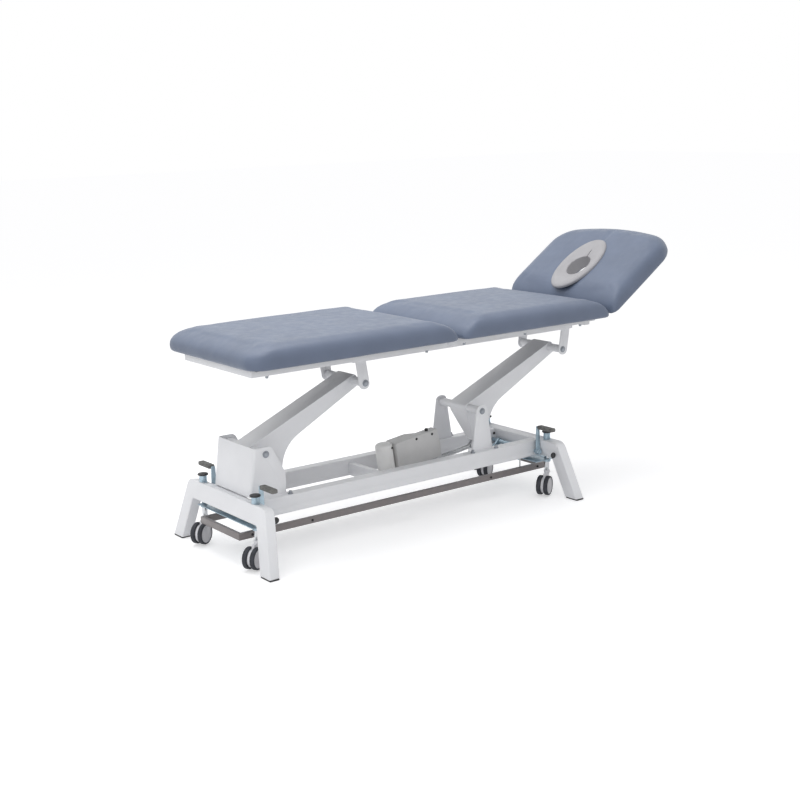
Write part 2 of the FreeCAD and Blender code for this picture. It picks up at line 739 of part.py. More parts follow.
def head_lever():
    """A tapering welded box under the head arm that ends in a clevis for the push rod."""
    lever = body("head_lever_body")
    widths = [("arm_width", "0 - lever_front", "lever_back", "0 - lever_start"),
              ("lever_tip_width", "lever_tip_front", "lever_tip_back", "0 - lever_drop")]
    for name, wall, kind in (("skin", "0", "PartDesign::AdditiveLoft"), ("core", "arm_sheet", "PartDesign::SubtractiveLoft")):
        sections = []
        for index, (width, front, back, level) in enumerate(widths):
            drawing = sketch(lever, "lever_" + name + str(index), "XY", level)
            half = "(" + width + " / 2 - " + wall + ")"
            rectangle(drawing, (front + " + " + wall, back + " - " + wall), ("-" + half, half))
            sections.append(drawing)
        doc.recompute()
        loft = lever.newObject(kind, "lever_" + name)
        loft.Profile = sections[0]
        loft.Sections = [sections[1]]
        loft.Ruled = True
    floor = sketch(lever, "lever_floor", "XY", "0 - lever_drop")
    rectangle(floor, ("lever_tip_front", "lever_tip_back"), ("0 - lever_tip_width / 2", "lever_tip_width / 2"))
    pad(lever, floor, "ear_thick", back=True)
    ear = sketch(lever, "lever_ears", "XZ")
    outline(ear, [("lever_pin_along - ear_round", "0 - lever_drop - ear_thick"),
                  ("lever_pin_along - ear_round", "0 - lever_pin_drop - ear_round"),
                  ("lever_pin_along + ear_round", "0 - lever_pin_drop - ear_round"),
                  ("lever_pin_along + ear_round", "0 - lever_drop - ear_thick")])
    pad(lever, ear, "2 * (eye_half + side_play + ear_thick)", both=True)
    low = value("0 - lever_pin_drop - ear_round")
    round_edges(lever, "lever_ear_rounds", "ear_round * 0.9",
                lambda edge: along(edge, AXIS_Y) and near(middle(edge).z, low))
    gap = sketch(lever, "lever_gap", "XZ")
    rectangle(gap, ("lever_pin_along - 2 * ear_round", "lever_pin_along + 2 * ear_round"),
              ("0 - lever_pin_drop - 2 * ear_round", "0 - lever_drop - ear_thick"))
    pocket(lever, gap, "2 * (eye_half + side_play)")
    bore = sketch(lever, "lever_bore", "XZ")
    circle(bore, "lever_pin_along", "0 - lever_pin_drop", "clevis_pin")
    pocket(lever, bore)
    place(lever, HEAD_PIVOT, "0", "pivot_height", turn=LEVER_TURN)
    node(lever, "head_arm_lever")
    half = "(eye_half + side_play + ear_thick)"
    pin = rod("clevis_pin_shank", "clevis_pin", "Y", "-" + half, half, CLEVIS_X, CLEVIS_Z)
    heads = [rod("clevis_pin_head" + str(side), "clevis_pin * 1.6", "Y", str(side) + " * (" + half + " + 1.5) - 1.5",
                 str(side) + " * (" + half + " + 1.5) + 1.5", CLEVIS_X, CLEVIS_Z) for side in (-1, 1)]
    node(join("clevis_pin_whole", [pin] + heads), "clevis_pin")


# Drive: drawn from the clevis pin backwards along -X, then tilted

DRIVE_TURN = FreeCAD.Rotation(AXIS_Y, -value("drive_tilt"))


def seat_drive(thing):
    return place(thing, CLEVIS_X, "0", CLEVIS_Z, turn=DRIVE_TURN)


def push_rod():
    piece = body("push_rod_body")
    shank = sketch(piece, "push_rod_section", "YZ", "0 - rod_end")
    circle(shank, "0", "0", "rod_radius")
    pad(piece, shank, "rod_end - ear_round - 4")
    neck = sketch(piece, "push_rod_neck", "XZ")
    rectangle(neck, ("0 - ear_round - 6", "0"), ("0 - eye_half", "eye_half"))
    pad(piece, neck, "2 * eye_half", both=True)
    eye = sketch(piece, "push_rod_eye", "XZ")
    circle(eye, "0", "0", "ear_round - 1")
    pad(piece, eye, "2 * eye_half", both=True)
    bore = sketch(piece, "push_rod_bore", "XZ")
    circle(bore, "0", "0", "clevis_pin + running_fit")
    pocket(piece, bore)
    seat_drive(piece)
    return node(piece, "push_rod")


def drive_tube():
    piece = body("drive_tube_body")
    skin = sketch(piece, "drive_tube_section", "YZ", "0 - tube_end")
    circle(skin, "0", "0", "tube_radius")
    circle(skin, "0", "0", "rod_radius + running_fit * 2")
    pad(piece, skin, "tube_end - tube_mouth")
    mouth = value("0 - tube_mouth")
    round_edges(piece, "drive_tube_mouth", "2", lambda edge: near(middle(edge).x, mouth)
                and edge.BoundBox.YLength > value("tube_radius") * 1.9)
    seat_drive(piece)
    return node(piece, "drive_tube")


def motor_housing():
    """Gear case behind the tube with an upright domed motor and the rear eye."""
    piece = body("motor_housing_body")
    case = sketch(piece, "gear_case", "XZ")
    rectangle(case, ("0 - gear_end", "0 - tube_end"), ("0 - gear_low", "tube_radius + 1"))
    pad(piece, case, "2 * gear_half", both=True)
    motor = sketch(piece, "motor_section", "XY", "tube_radius")
    circle(motor, "0 - motor_along", "0", "motor_radius")
    pad(piece, motor, "motor_top - tube_radius")
    top = value("motor_top")
    round_edges(piece, "motor_dome", "motor_radius * 0.35", lambda edge: near(middle(edge).z, top))
    round_edges(piece, "gear_case_edges", "5", lambda edge: along(edge, AXIS_Z) and middle(edge).z < 0)
    eye = sketch(piece, "rear_eye_plate", "XZ")
    circle(eye, "0 - rear_eye", "0", "ear_round")
    pad(piece, eye, "2 * eye_half", both=True)
    neck = sketch(piece, "rear_eye_neck", "XZ")
    rectangle(neck, ("0 - rear_eye", "0 - gear_end"), ("0 - ear_round * 0.8", "ear_round * 0.8"))
    pad(piece, neck, "2 * eye_half", both=True)
    pin = sketch(piece, "rear_pin", "XZ")
    circle(pin, "0 - rear_eye", "0", "clevis_pin")
    pad(piece, pin, "2 * (eye_half + ear_thick + 5)", both=True)
    seat_drive(piece)
    return node(piece, "motor_housing")


def control_box():
    """Plastic control box on the tube: deep at the motor, slim and slanted at the rod end."""
    piece = body("control_box_body")
    plan = sketch(piece, "control_box_plan", "XY", "tube_radius + side_play")
    outline(plan, [("0 - box_tail", "0 - box_near"), ("0 - box_mouth", "0 - box_near"),
                   ("0 - box_mouth", "box_far_slim"), ("0 - box_step + box_near / 2", "box_far_slim"),
                   ("0 - box_step - box_near / 2", "box_far_wide"), ("0 - box_tail", "box_far_wide")])
    pad(piece, plan, "box_top - tube_radius - side_play")
    round_edges(piece, "control_box_corners", "tube_edge", lambda edge: along(edge, AXIS_Z))
    slant = sketch(piece, "control_box_slant", "XZ")
    outline(slant, [("0 - box_mouth - 8", "box_top * 2"), ("0 - box_mouth - 8", "box_top"),
                    ("0 - box_mouth + 8", "0"), ("0", "0"), ("0", "box_top * 2")])
    pocket(piece, slant)
    top = value("box_top")
    round_edges(piece, "control_box_rim", "3", lambda edge: near(middle(edge).z, top))
    seat_drive(piece)
    node(piece, "control_box")
    gland = body("cable_gland_body")
    ring = sketch(gland, "cable_gland_section", "XY", "box_top")
    circle(ring, "0 - box_mouth - 48", "0 - box_near / 2", "gland_radius")
    pad(gland, ring, "gland_radius * 1.4")
    level = value("box_top + gland_radius * 1.4")
    round_edges(gland, "cable_gland_dome", "gland_radius * 0.4", lambda edge: near(middle(edge).z, level))
    seat_drive(gland)
    return node(gland, "cable_gland")


def drive_mount():
    """Cross channel between the rails with two slotted ears for the drive's rear pin."""
    pin_x = "(" + CLEVIS_X + " - rear_eye * cos(drive_tilt))"
    pin_z = "(" + CLEVIS_Z + " - rear_eye * sin(drive_tilt))"
    back = "(" + pin_x + " - ear_round * 3)"
    channel = block("mount_channel", (back, back + " + ear_round * 1.7"), ("-" + RAIL_IN, RAIL_IN),
                    ("rail_low + tube_edge", RAIL_TOP + " - tube_edge * 3"))
    ears = []
    for side in (-1, 1):
        edge = str(side) + " * (eye_half + side_play * 2 + ear_thick / 2)"
        ear = block("mount_ear" + str(side), (back + " + ear_round * 1.2", pin_x + " + ear_round * 0.8"),
                    (edge + " - ear_thick / 2", edge + " + ear_thick / 2"),
                    (pin_z + " - slot_below - ear_round * 1.2", pin_z + " + slot_above + ear_round * 1.2"))
        ears.append(ear)
    whole = join("mount_whole", [channel] + ears)
    width = "(clevis_pin + 3.5)"
    ends = [rod("mount_slot_end" + str(index), width, "Y", "-" + RAIL_IN, RAIL_IN, pin_x, pin_z + shift)
            for index, shift in enumerate((" - slot_below", " + slot_above"))]
    run = block("mount_slot_run", (pin_x + " - " + width, pin_x + " + " + width), ("-" + RAIL_IN, RAIL_IN),
                (pin_z + " - slot_below", pin_z + " + slot_above"))
    return node(cut("drive_mount_cut", whole, ends + [run]), "drive_mount")


# Top frame

BEAM_TOP = "(beam_low + beam_height)"
SEAT_X = "(base_middle + seat_hinge)"
HINGE_X = "(base_middle + head_hinge)"
FRAME_OUT = "(frame_width / 2)"
FRAME_IN = "(frame_width / 2 - frame_tube)"


def main_frame():
    """Two long beams on the lift, with the rim that carries the middle board."""
    parts = []
    foot_end = "(base_middle - beam_foot_end)"
    head_end = "(base_middle + mid_frame_end)"
    for side in (-1, 1):
        mid = str(side) + " * (beam_spread / 2 - beam_width / 2)"
        parts.append(block("long_beam" + str(side), (foot_end, head_end),
                           (mid + " - beam_width / 2", mid + " + beam_width / 2"), ("beam_low", BEAM_TOP)))
        rim = str(side) + " * (" + FRAME_OUT + " - frame_tube / 2)"
        parts.append(block("mid_rim" + str(side), (SEAT_X + " + hinge_gap", head_end),
                           (rim + " - frame_tube / 2", rim + " + frame_tube / 2"),
                           ("frame_top - mid_frame_height", "frame_top")))
    spots = {"seat_cross": SEAT_X + " + hinge_gap", "head_cross": head_end + " - frame_tube"}
    for name, start in spots.items():
        parts.append(block(name, (start, start + " + frame_tube"), ("-" + FRAME_OUT, FRAME_OUT), (BEAM_TOP, "frame_top")))
    half = "(beam_spread / 2)"
    for name, start in (("foot_tie", foot_end), ("middle_tie", PIVOT_X["head"] + " + " + RISE_X + " - arm_length / 2")):
        parts.append(block(name, (start, start + " + frame_tube"), ("-" + half, half), ("beam_low", BEAM_TOP)))
    for side in (-1, 1):
        for name, x, reach in (("seat", SEAT_X, "1"), ("head", HINGE_X, "-1")):
            lug = str(side) + " * (" + FRAME_IN + " - hinge_gap)"
            start = (x + " - hinge_pin * 2") if reach == "1" else (head_end + " - 1")
            stop = (x + " + hinge_gap + 1") if reach == "1" else (x + " + hinge_pin * 2")
            parts.append(block(name + "_lug" + str(side), (start, stop), (lug + " - 3", lug + " + 3"),
                               ("hinge_height - mid_frame_height + 5", "frame_top - 1")))
    eye = spring_eye("head_fixed", HINGE_X, "head_spring_reach", "head_spring_fixed", "head_spring_side", BEAM_TOP)
    ties = [block("head_spring_tie", (eye["x"] + " - spring_boss", eye["x"] + " + spring_boss"), ("-" + half, half),
                  ("beam_low", BEAM_TOP))]
    leg_eye = spring_eye("leg_fixed", SEAT_X, "leg_spring_reach", "leg_spring_fixed", "leg_spring_side", BEAM_TOP)
    ties.append(block("leg_spring_tie", (leg_eye["x"] + " - spring_boss", leg_eye["x"] + " + spring_boss"),
                      ("-" + half, half), ("beam_low", BEAM_TOP)))
    whole = join("main_frame_whole", parts + eye["ears"] + leg_eye["ears"] + ties)
    return node(cut("main_frame_bored", whole, hinge_bores("main") + eye["bores"] + leg_eye["bores"]), "main_frame")


def hinge_bores(name):
    bores = []
    for end, x in (("seat", SEAT_X), ("head", HINGE_X)):
        bores.append(rod(name + end + "_hinge_bore", "hinge_pin", "Y", "-" + FRAME_OUT, FRAME_OUT, x, "hinge_height"))
    return bores


def spring_eye(name, x, reach, angle, side, top):
    """Two ears on the frame that hold one end of a gas spring."""
    eye_x = "(" + x + " + " + reach + " * cos(" + angle + "))"
    eye_z = "(hinge_height + " + reach + " * sin(" + angle + "))"
    ears = []
    for hand in (-1, 1):
        edge = side + " + " + str(hand) + " * (spring_boss * 0.75 + side_play + 2)"
        ears.append(block(name + "_ear" + str(hand), (eye_x + " - spring_boss", eye_x + " + spring_boss"),
                          (edge + " - 2", edge + " + 2"), (eye_z + " - spring_boss", top)))
    bore = rod(name + "_bore", "piston_radius + running_fit", "Y", side + " - spring_boss * 3",
               side + " + spring_boss * 3", eye_x, eye_z)
    return {"x": eye_x, "z": eye_z, "ears": ears, "bores": [bore]}


def lift_lugs():
    """Slanted lugs that hang the upper pivots under the long beams."""
    pieces = []
    for end, lean in (("foot", "-1"), ("head", "1")):
        for side in (-1, 1):
            name = end + "_lug" + ("_near" if side < 0 else "_far")
            lug = body(name)
            flank = sketch(lug, name + "_flank", "XZ", str(-side) + " * (lug_spread / 2 - sheet_steel / 2)")
            height = "(beam_low - pivot_height - " + RISE_Z + ")"
            outline(flank, [("0 - lug_width / 2", "0 - lug_width / 2"), ("lug_width / 2", "0 - lug_width / 2"),
                            ("lug_width / 2 + " + lean + " * lug_slant", height),
                            ("0 - lug_width / 2 + " + lean + " * lug_slant", height)])
            pad(lug, flank, "sheet_steel", both=True)
            low = value("0 - lug_width / 2")
            round_edges(lug, name + "_round", "lug_width * 0.46",
                        lambda edge: along(edge, AXIS_Y) and near(middle(edge).z, low))
            bore = sketch(lug, name + "_bore", "XZ")
            circle(bore, "0", "0", "pivot_shaft")
            pocket(lug, bore)
            pieces.append(place(lug, PIVOT_X[end] + " + " + RISE_X, "0", "pivot_height + " + RISE_Z))
    return node(group("lugs", pieces), "lift_lugs")


def hinge_pins():
    """Short pins through the fixed lugs and the plates of the leg and head frames."""
    pins = []
    lug = "(" + FRAME_IN + " - hinge_gap)"
    for end, x, inner, outer in (("seat", SEAT_X, lug + " - 4", FRAME_IN + " + 1"),
                                 ("head", HINGE_X, lug + " - 13", lug + " + 5")):
        for side, low, high in ((-1, "0 - (" + outer + ")", "0 - (" + inner + ")"), (1, inner, outer)):
            pins.append(rod(end + "_hinge_pin" + str(side), "hinge_pin", "Y", low, high, x, "hinge_height"))
    return node(group("hinge_pin_set", pins), "section_hinge_pins")


def leg_frame():
    """Rectangular frame of the leg section with its hinge plates and spring ears."""
    parts = []
    foot_end = "(base_middle - leg_frame_end)"
    low = "(frame_top - leg_frame_height)"
    head_end = "(" + SEAT_X + " - hinge_gap)"
    for side in (-1, 1):
        mid = str(side) + " * (" + FRAME_OUT + " - frame_tube / 2)"
        parts.append(block("leg_side" + str(side), (foot_end, head_end),
                           (mid + " - frame_tube / 2", mid + " + frame_tube / 2"), (low, "frame_top")))
        plate = str(side) + " * (" + FRAME_IN + " - 4)"
        parts.append(block("leg_hinge_plate" + str(side), (head_end + " - hinge_gap * 3", SEAT_X + " + hinge_pin * 2"),
                           (plate + " - 4", plate + " + 4"), ("hinge_height - hinge_pin * 2", "frame_top - 1")))
    for name, start in (("leg_foot_cross", foot_end), ("leg_head_cross", head_end + " - frame_tube"),
                        ("leg_middle_cross", "base_middle - leg_frame_end / 2")):
        parts.append(block(name, (start, start + " + frame_tube"), ("-" + FRAME_OUT, FRAME_OUT), (low, "frame_top")))
    moving = "180 + leg_spring_moving"
    eye = spring_eye("leg_moving", SEAT_X, "leg_spring_reach", moving, "leg_spring_side", low + " + 1")
    strap = block("leg_spring_strap", (eye["x"] + " - spring_boss", head_end), ("leg_spring_side - spring_boss * 2",
                  "leg_spring_side + spring_boss * 2"), (low, low + " + sheet_steel"))
    bore = rod("leg_hinge_bore", "hinge_pin + running_fit", "Y", "-" + FRAME_OUT, FRAME_OUT, SEAT_X, "hinge_height")
    whole = join("leg_frame_whole", parts + eye["ears"] + [strap])
    return node(cut("leg_frame_bored", whole, [bore] + eye["bores"]), "leg_frame")


# Padded sections: boards and cushions

BOARD_TOP = "(frame_top + board_thick)"
CUSHION_LOW = "(frame_top + board_thick + cushion_gap)"


def board(name, x, corner):
    piece = body(name + "_body")
    plan = sketch(piece, name + "_plan", "XY", "frame_top")
    half = "(cushion_width / 2 - board_inset)"
    rectangle(plan, x, ("-" + half, half))
    pad(piece, plan, "board_thick")
    round_edges(piece, name + "_corners", corner, lambda edge: along(edge, AXIS_Z))
    return node(piece, name)


def bow(piece, name, tip, radius):
    """Trims the end of a section to a shallow arc that peaks on the centre line."""
    plan = sketch(piece, name + "_bow", "XY")
    edge = "(" + radius + " + cushion_width)"
    rectangle(plan, (tip + " - " + radius + " - " + edge, tip + " + cushion_width"), ("-" + edge, edge))
    circle(plan, tip + " - " + radius, "0", radius)
    return pocket(piece, plan)


def cushion(name, corners, round_test, corner, bowed=None):
    """A padded block drawn from the side, with rounded corners and upper edges."""
    piece = body(name + "_body")
    flank = sketch(piece, name + "_flank", "XZ")
    outline(flank, corners)
    pad(piece, flank, "cushion_width", both=True)
    if bowed:
        bow(piece, name, bowed, "head_bow")
    if round_test:
        round_edges(piece, name + "_corners", corner, round_test)
    top = value(corners[2][1])
    round_edges(piece, name + "_crown", "cushion_round",
                lambda edge: near(edge.BoundBox.ZMax, top) and near(edge.BoundBox.ZMin, top))
    return piece


def wedge(x, sign, low, high):
    """The foot and top of a sloped seam end beside a hinge."""
    foot = (x + " + " + sign + " * hinge_gap", low)
    head = (x + " + " + sign + " * (hinge_gap + (cushion_top - frame_top - board_thick) * tan(wedge_lean))", high)
    return foot, head


def leg_section():
    board("leg_board", ("base_middle - leg_end + board_inset", SEAT_X + " - hinge_gap"), "corner_round / 2")
    foot, head = wedge(SEAT_X, "-1", CUSHION_LOW, "cushion_top")
    end = value("base_middle - leg_end")
    piece = cushion("leg_cushion", [("base_middle - leg_end", CUSHION_LOW), foot, head,
                                    ("base_middle - leg_end", "cushion_top")],
                    lambda edge: along(edge, AXIS_Z) and near(middle(edge).x, end), "corner_round")
    return node(piece, "leg_cushion")


def mid_section():
    board("mid_board", (SEAT_X + " + hinge_gap", HINGE_X + " - hinge_gap"), "hinge_gap")
    left_foot, left_head = wedge(SEAT_X, "1", CUSHION_LOW, "cushion_top")
    right_foot, right_head = wedge(HINGE_X, "-1", CUSHION_LOW, "cushion_top")
    piece = cushion("mid_cushion", [left_foot, right_foot, right_head, left_head], None, None)
    return node(piece, "mid_cushion")


# Head section, drawn flat from its hinge and then raised

HEAD_TURN = FreeCAD.Rotation(AXIS_Y, -value("head_rest_angle"))
HEAD_BOARD_LOW = "(frame_top - hinge_height)"
HEAD_BOARD_TOP = "(frame_top - hinge_height + board_thick)"
HEAD_CUSHION_LOW = "(frame_top - hinge_height + board_thick + cushion_gap)"
HEAD_TOP = "(cushion_top - hinge_height)"


def seat_head(thing):
    return place(thing, HINGE_X, "0", "hinge_height", turn=HEAD_TURN)


def oval(name, long_radius, wide_radius, along_x, level):
    thing = doc.addObject("Part::Ellipse", name)
    bind(thing, "MajorRadius", long_radius)
    bind(thing, "MinorRadius", wide_radius)
    return place(thing, along_x, "0", level)


def oval_prism(name, long_radius, wide_radius, along_x, low, high):
    thing = doc.addObject("Part::Extrusion", name)
    thing.Base = oval(name + "_oval", long_radius, wide_radius, along_x, low)
    thing.DirMode = "Custom"
    thing.Dir = AXIS_Z
    bind(thing, "LengthFwd", "(" + high + ") - (" + low + ")")
    thing.Solid = True
    return thing


def oval_loft(name, sections):
    thing = doc.addObject("Part::Loft", name)
    thing.Sections = [oval(name + str(index), *section) for index, section in enumerate(sections)]
    thing.Solid = True
    thing.Ruled = True
    return thing


def head_section():
    plate = body("head_board_body")
    plan = sketch(plate, "head_board_plan", "XY", HEAD_BOARD_LOW)
    half = "(cushion_width / 2 - board_inset)"
    far = "(head_length - board_inset)"
    rectangle(plan, ("hinge_gap", far), ("-" + half, half))
    pad(plate, plan, "board_thick")
    bow(plate, "head_board", far, "(head_bow - board_inset)")
    middle_x = value("face_centre")
    round_edges(plate, "head_board_corners", "head_corner - board_inset",
                lambda edge: along(edge, AXIS_Z) and middle(edge).x > middle_x)
    board_hole = oval_prism("board_hole", "sleeve_long + 1", "sleeve_wide + 1", "face_centre",
                            HEAD_BOARD_LOW + " - 1", HEAD_BOARD_TOP + " + 1")
    node(seat_head(cut("head_board_cut", plate, [board_hole])), "head_board")
    foot, top = wedge("0", "1", HEAD_CUSHION_LOW, HEAD_TOP)
    pad_piece = cushion("head_cushion", [foot, ("head_length", HEAD_CUSHION_LOW), ("head_length", HEAD_TOP), top],
                        lambda edge: along(edge, AXIS_Z) and middle(edge).x > middle_x, "head_corner", "head_length")
    pad_hole = oval_prism("cushion_hole", "sleeve_long + 1", "sleeve_wide + 1", "face_centre",
                          HEAD_CUSHION_LOW + " - 1", HEAD_TOP + " + 1")
    node(seat_head(cut("head_cushion_cut", pad_piece, [pad_hole])), "head_cushion")
    rim_low = "(" + HEAD_TOP + " + cushion_gap)"
    rim_high = "(" + HEAD_TOP + " + insert_rise)"
    bottom = "(" + HEAD_TOP + " - insert_depth)"
    rim = oval_loft("face_rim", [("face_long", "face_wide", "face_centre", rim_low),
                                 ("face_long - 1", "face_wide - 1", "face_centre", rim_high + " - 5"),
                                 ("face_long - 8", "face_wide - 8", "face_centre", rim_high)])
    sleeve = oval_prism("face_sleeve", "sleeve_long", "sleeve_wide", "face_centre", bottom, rim_low + " + 1")
    edge_level = "(" + rim_high + " - bowl_depth)"
    bowl = oval_loft("face_bowl", [("mouth_long", "mouth_wide", "mouth_along", edge_level),
                                   ("bowl_long", "bowl_wide", "face_centre", rim_high + " + 1")])
    mouth = oval_prism("face_mouth", "mouth_long", "mouth_wide", "mouth_along", bottom + " - 1", edge_level + " + 1")
    slit = block("face_slit", ("mouth_along + mouth_long - 4", "mouth_along + mouth_long + slit_length"),
                 ("0 - slit_width / 2", "slit_width / 2"), (edge_level + " - slit_depth", rim_high + " + 1"))
    insert = cut("face_insert_cut", join("face_insert_whole", [rim, sleeve]), [bowl, mouth, slit])
    node(seat_head(insert), "face_insert")


def head_frame():
    """A small frame of two arms and a cross tube, with hinge plates and the spring's ears."""
    parts = []
    low = "(0 - mid_frame_height + " + HEAD_BOARD_LOW + ")"
    arm_side = "(" + FRAME_IN + " - hinge_gap)"
    stop = "(head_length - corner_round * 1.6)"
    for side in (-1, 1):
        mid = str(side) + " * (" + arm_side + " - 3 - side_play - 4)"
        parts.append(block("head_hinge_plate" + str(side), ("0 - hinge_pin * 2", "hinge_gap * 3"),
                           (mid + " - 4", mid + " + 4"), (low + " + 4", HEAD_BOARD_LOW + " - 1")))
        tube_mid = str(side) + " * (" + arm_side + " - 3 - side_play - frame_tube / 2)"
        parts.append(block("head_side" + str(side), ("hinge_gap * 2", stop),
                           (tube_mid + " - frame_tube / 2", tube_mid + " + frame_tube / 2"), (low, HEAD_BOARD_LOW)))
    inner = "(" + arm_side + " - 3 - side_play)"
    for name, start in (("head_cross_near", "hinge_gap * 2"), ("head_cross_far", stop + " - frame_tube")):
        parts.append(block(name, (start, start + " + frame_tube"), ("-" + inner, inner), (low, HEAD_BOARD_LOW)))
    eye_x = "(head_spring_reach * cos(head_spring_moving))"
    eye_z = "(0 - head_spring_reach * sin(head_spring_moving))"
    parts.append(block("head_spring_cross", ("hinge_gap * 5", "hinge_gap * 5 + frame_tube"), ("-" + inner, inner),
                       (low, HEAD_BOARD_LOW)))
    for hand in (-1, 1):
        ear = body("head_moving_ear" + str(hand))
        edge = "(head_spring_side + " + str(hand) + " * (spring_boss * 0.75 + side_play + 2))"
        cheek = sketch(ear, "head_ear_flank" + str(hand), "XZ", "0 - " + edge)
        outline(cheek, [("hinge_gap * 5", low + " + 2"), (eye_x + " - spring_boss", eye_z + " - spring_boss / 2"),
                        (eye_x + " - spring_boss / 2", eye_z + " - spring_boss"),
                        (eye_x + " + spring_boss / 2", eye_z + " - spring_boss"),
                        (eye_x + " + spring_boss", eye_z + " - spring_boss / 2"),
                        (eye_x + " + spring_boss / 2", eye_z + " + spring_boss"),
                        ("hinge_gap * 5 + frame_tube", low + " + 2")])
        pad(ear, cheek, "4", both=True)
        parts.append(ear)
    pin_bore = rod("head_hinge_bore", "hinge_pin + running_fit", "Y", "-" + FRAME_OUT, FRAME_OUT, "0", "0")
    spring_bore = rod("head_moving_bore", "piston_radius + running_fit", "Y", "head_spring_side - spring_boss * 3",
                      "head_spring_side + spring_boss * 3", eye_x, eye_z)
    frame = cut("head_frame_bored", join("head_frame_whole", parts), [pin_bore, spring_bore])
    return node(seat_head(frame), "head_frame")


def gas_spring(name, x, reach, fixed, moving, side):
    """Cylinder hung from the fixed ears and piston rod from the moving ears, on one line."""
    fixed_x = "(" + x + " + " + reach + " * cos(" + fixed + "))"
    fixed_z = "(hinge_height + " + reach + " * sin(" + fixed + "))"
    moving_x = "(" + x + " + " + reach + " * cos(" + moving + "))"
    moving_z = "(hinge_height + " + reach + " * sin(" + moving + "))"
    aim = math.degrees(math.atan2(value(moving_z) - value(fixed_z), value(moving_x) - value(fixed_x)))
    turn = FreeCAD.Rotation(AXIS_Y, -aim)
    back = FreeCAD.Rotation(AXIS_Y, 180 - aim)
    barrel = name + "_barrel"
    pin = ("0 - spring_boss * 0.75 - spring_cheek", "spring_boss * 0.75 + spring_cheek")
    case = join(name + "_shell", [
        rod(name + "_case", "spring_radius", "X", "spring_boss * 2.5", barrel),
        rod(name + "_throat", "spring_boss * 0.7", "X", "0", "spring_boss * 2.75"),
        rod(name + "_boss", "spring_boss", "Y", "0 - spring_boss * 0.75", "spring_boss * 0.75")])
    bore = rod(name + "_case_bore", "piston_radius + running_fit * 2", "X", "spring_boss * 3", barrel + " + 1")
    cylinder = join(name + "_cylinder_whole", [cut(name + "_case_bored", case, [bore]),
                                               rod(name + "_pin", "piston_radius", "Y", *pin)])
    node(place(cylinder, fixed_x, side, fixed_z, turn=turn), name + "_cylinder")
    stem = join(name + "_rod_whole", [
        rod(name + "_piston", "piston_radius", "X", "spring_boss / 2", name + "_stem"),
        rod(name + "_end_boss", "spring_boss", "Y", "0 - spring_boss * 0.75", "spring_boss * 0.75"),
        rod(name + "_end_pin", "piston_radius", "Y", *pin)])
    node(place(stem, moving_x, side, moving_z, turn=back), name + "_rod")


# Foot control ring

def control_ring():
    """A low ring of flat tube round the base that the foot lifts or presses."""
    ring = body("control_ring_body")
    plan = sketch(ring, "control_ring_plan", "XY", "ring_low")
    rectangle(plan, ("0 - ring_length / 2", "ring_length / 2"), ("0 - ring_width / 2", "ring_width / 2"))
    rectangle(plan, ("ring_thick - ring_length / 2", "ring_length / 2 - ring_thick"),
              ("ring_thick - ring_width / 2", "ring_width / 2 - ring_thick"))
    pad(ring, plan, "ring_height")
    round_edges(ring, "control_ring_edges", "1.5", lambda edge: not along(edge, AXIS_Z))
    place(ring, "base_middle")
    node(ring, "control_ring")
    hangers = []
    for end in ("foot", "head"):
        for side in (-1, 1):
            name = end + "_hanger" + str(side)
            spot = (END_X[end]("hanger_out"), str(side) + " * hanger_side")
            hangers.append(rod(name, "hanger_radius", "Z", "ring_low + ring_height", "hanger_top", *spot))
    return node(group("ring_hangers", hangers), "ring_hangers")


# Castor carriages, castors and pedals

def carriage(end):
    """Zinc cross plate that carries the two castor stems of one end."""
    x = END_X[end]
    edges = [x("plate_outer"), x("plate_inner")]
    low, high = edges if end == "foot" else edges[::-1]
    plate = block(end + "_carriage_plate", (low, high), ("0 - plate_half", "plate_half"),
                  ("plate_low", "plate_low + plate_thick"))
    sides = [x("plate_inner"), x("plate_inner - plate_thick")]
    flange = block(end + "_carriage_flange", tuple(sides if end == "foot" else sides[::-1]),
                   ("0 - " + RAIL_IN + " + 2", RAIL_IN + " - 2"), ("plate_low - flange_drop", "plate_low + plate_thick"))
    collars = [rod(end + "_collar" + str(side), "stem_radius + 5", "Z", "plate_low - flange_drop", "plate_low",
                   x("stem_out"), str(side) + " * stem_side") for side in (-1, 1)]
    holes = [rod(end + "_stem_hole" + str(side), "stem_radius", "Z", "plate_low - 20", "plate_low + 20",
                 x("stem_out"), str(side) + " * stem_side") for side in (-1, 1)]
    whole = join(end + "_carriage_whole", [plate, flange] + collars)
    node(cut(end + "_carriage_cut", whole, holes), end + "_carriage")
    stems = []
    for side in (-1, 1):
        name = end + "_stem" + str(side)
        post = body(name)
        flank = sketch(post, name + "_flank", "XZ")
        crown = "(stem_top + cap_thick)"
        outline(flank, [("0", "stem_low"), ("stem_radius", "stem_low"), ("stem_radius", "sleeve_low"),
                        ("sleeve_radius", "sleeve_low"), ("sleeve_radius", "stem_top"), ("cap_radius", "stem_top"),
                        ("cap_radius", crown), ("0", crown)])
        turned(post, flank)
        round_edges(post, name + "_cap_edge", "cap_thick / 2.2", lambda edge: circled(edge, "cap_radius"))
        stems.append(place(post, x("stem_out"), str(side) + " * stem_side"))
    node(group(end + "_stems", stems), end + "_castor_stems")


AXLE_Z = "(wheel_radius + wheel_lift)"


HUB = "(wheel_radius - tyre_depth)"


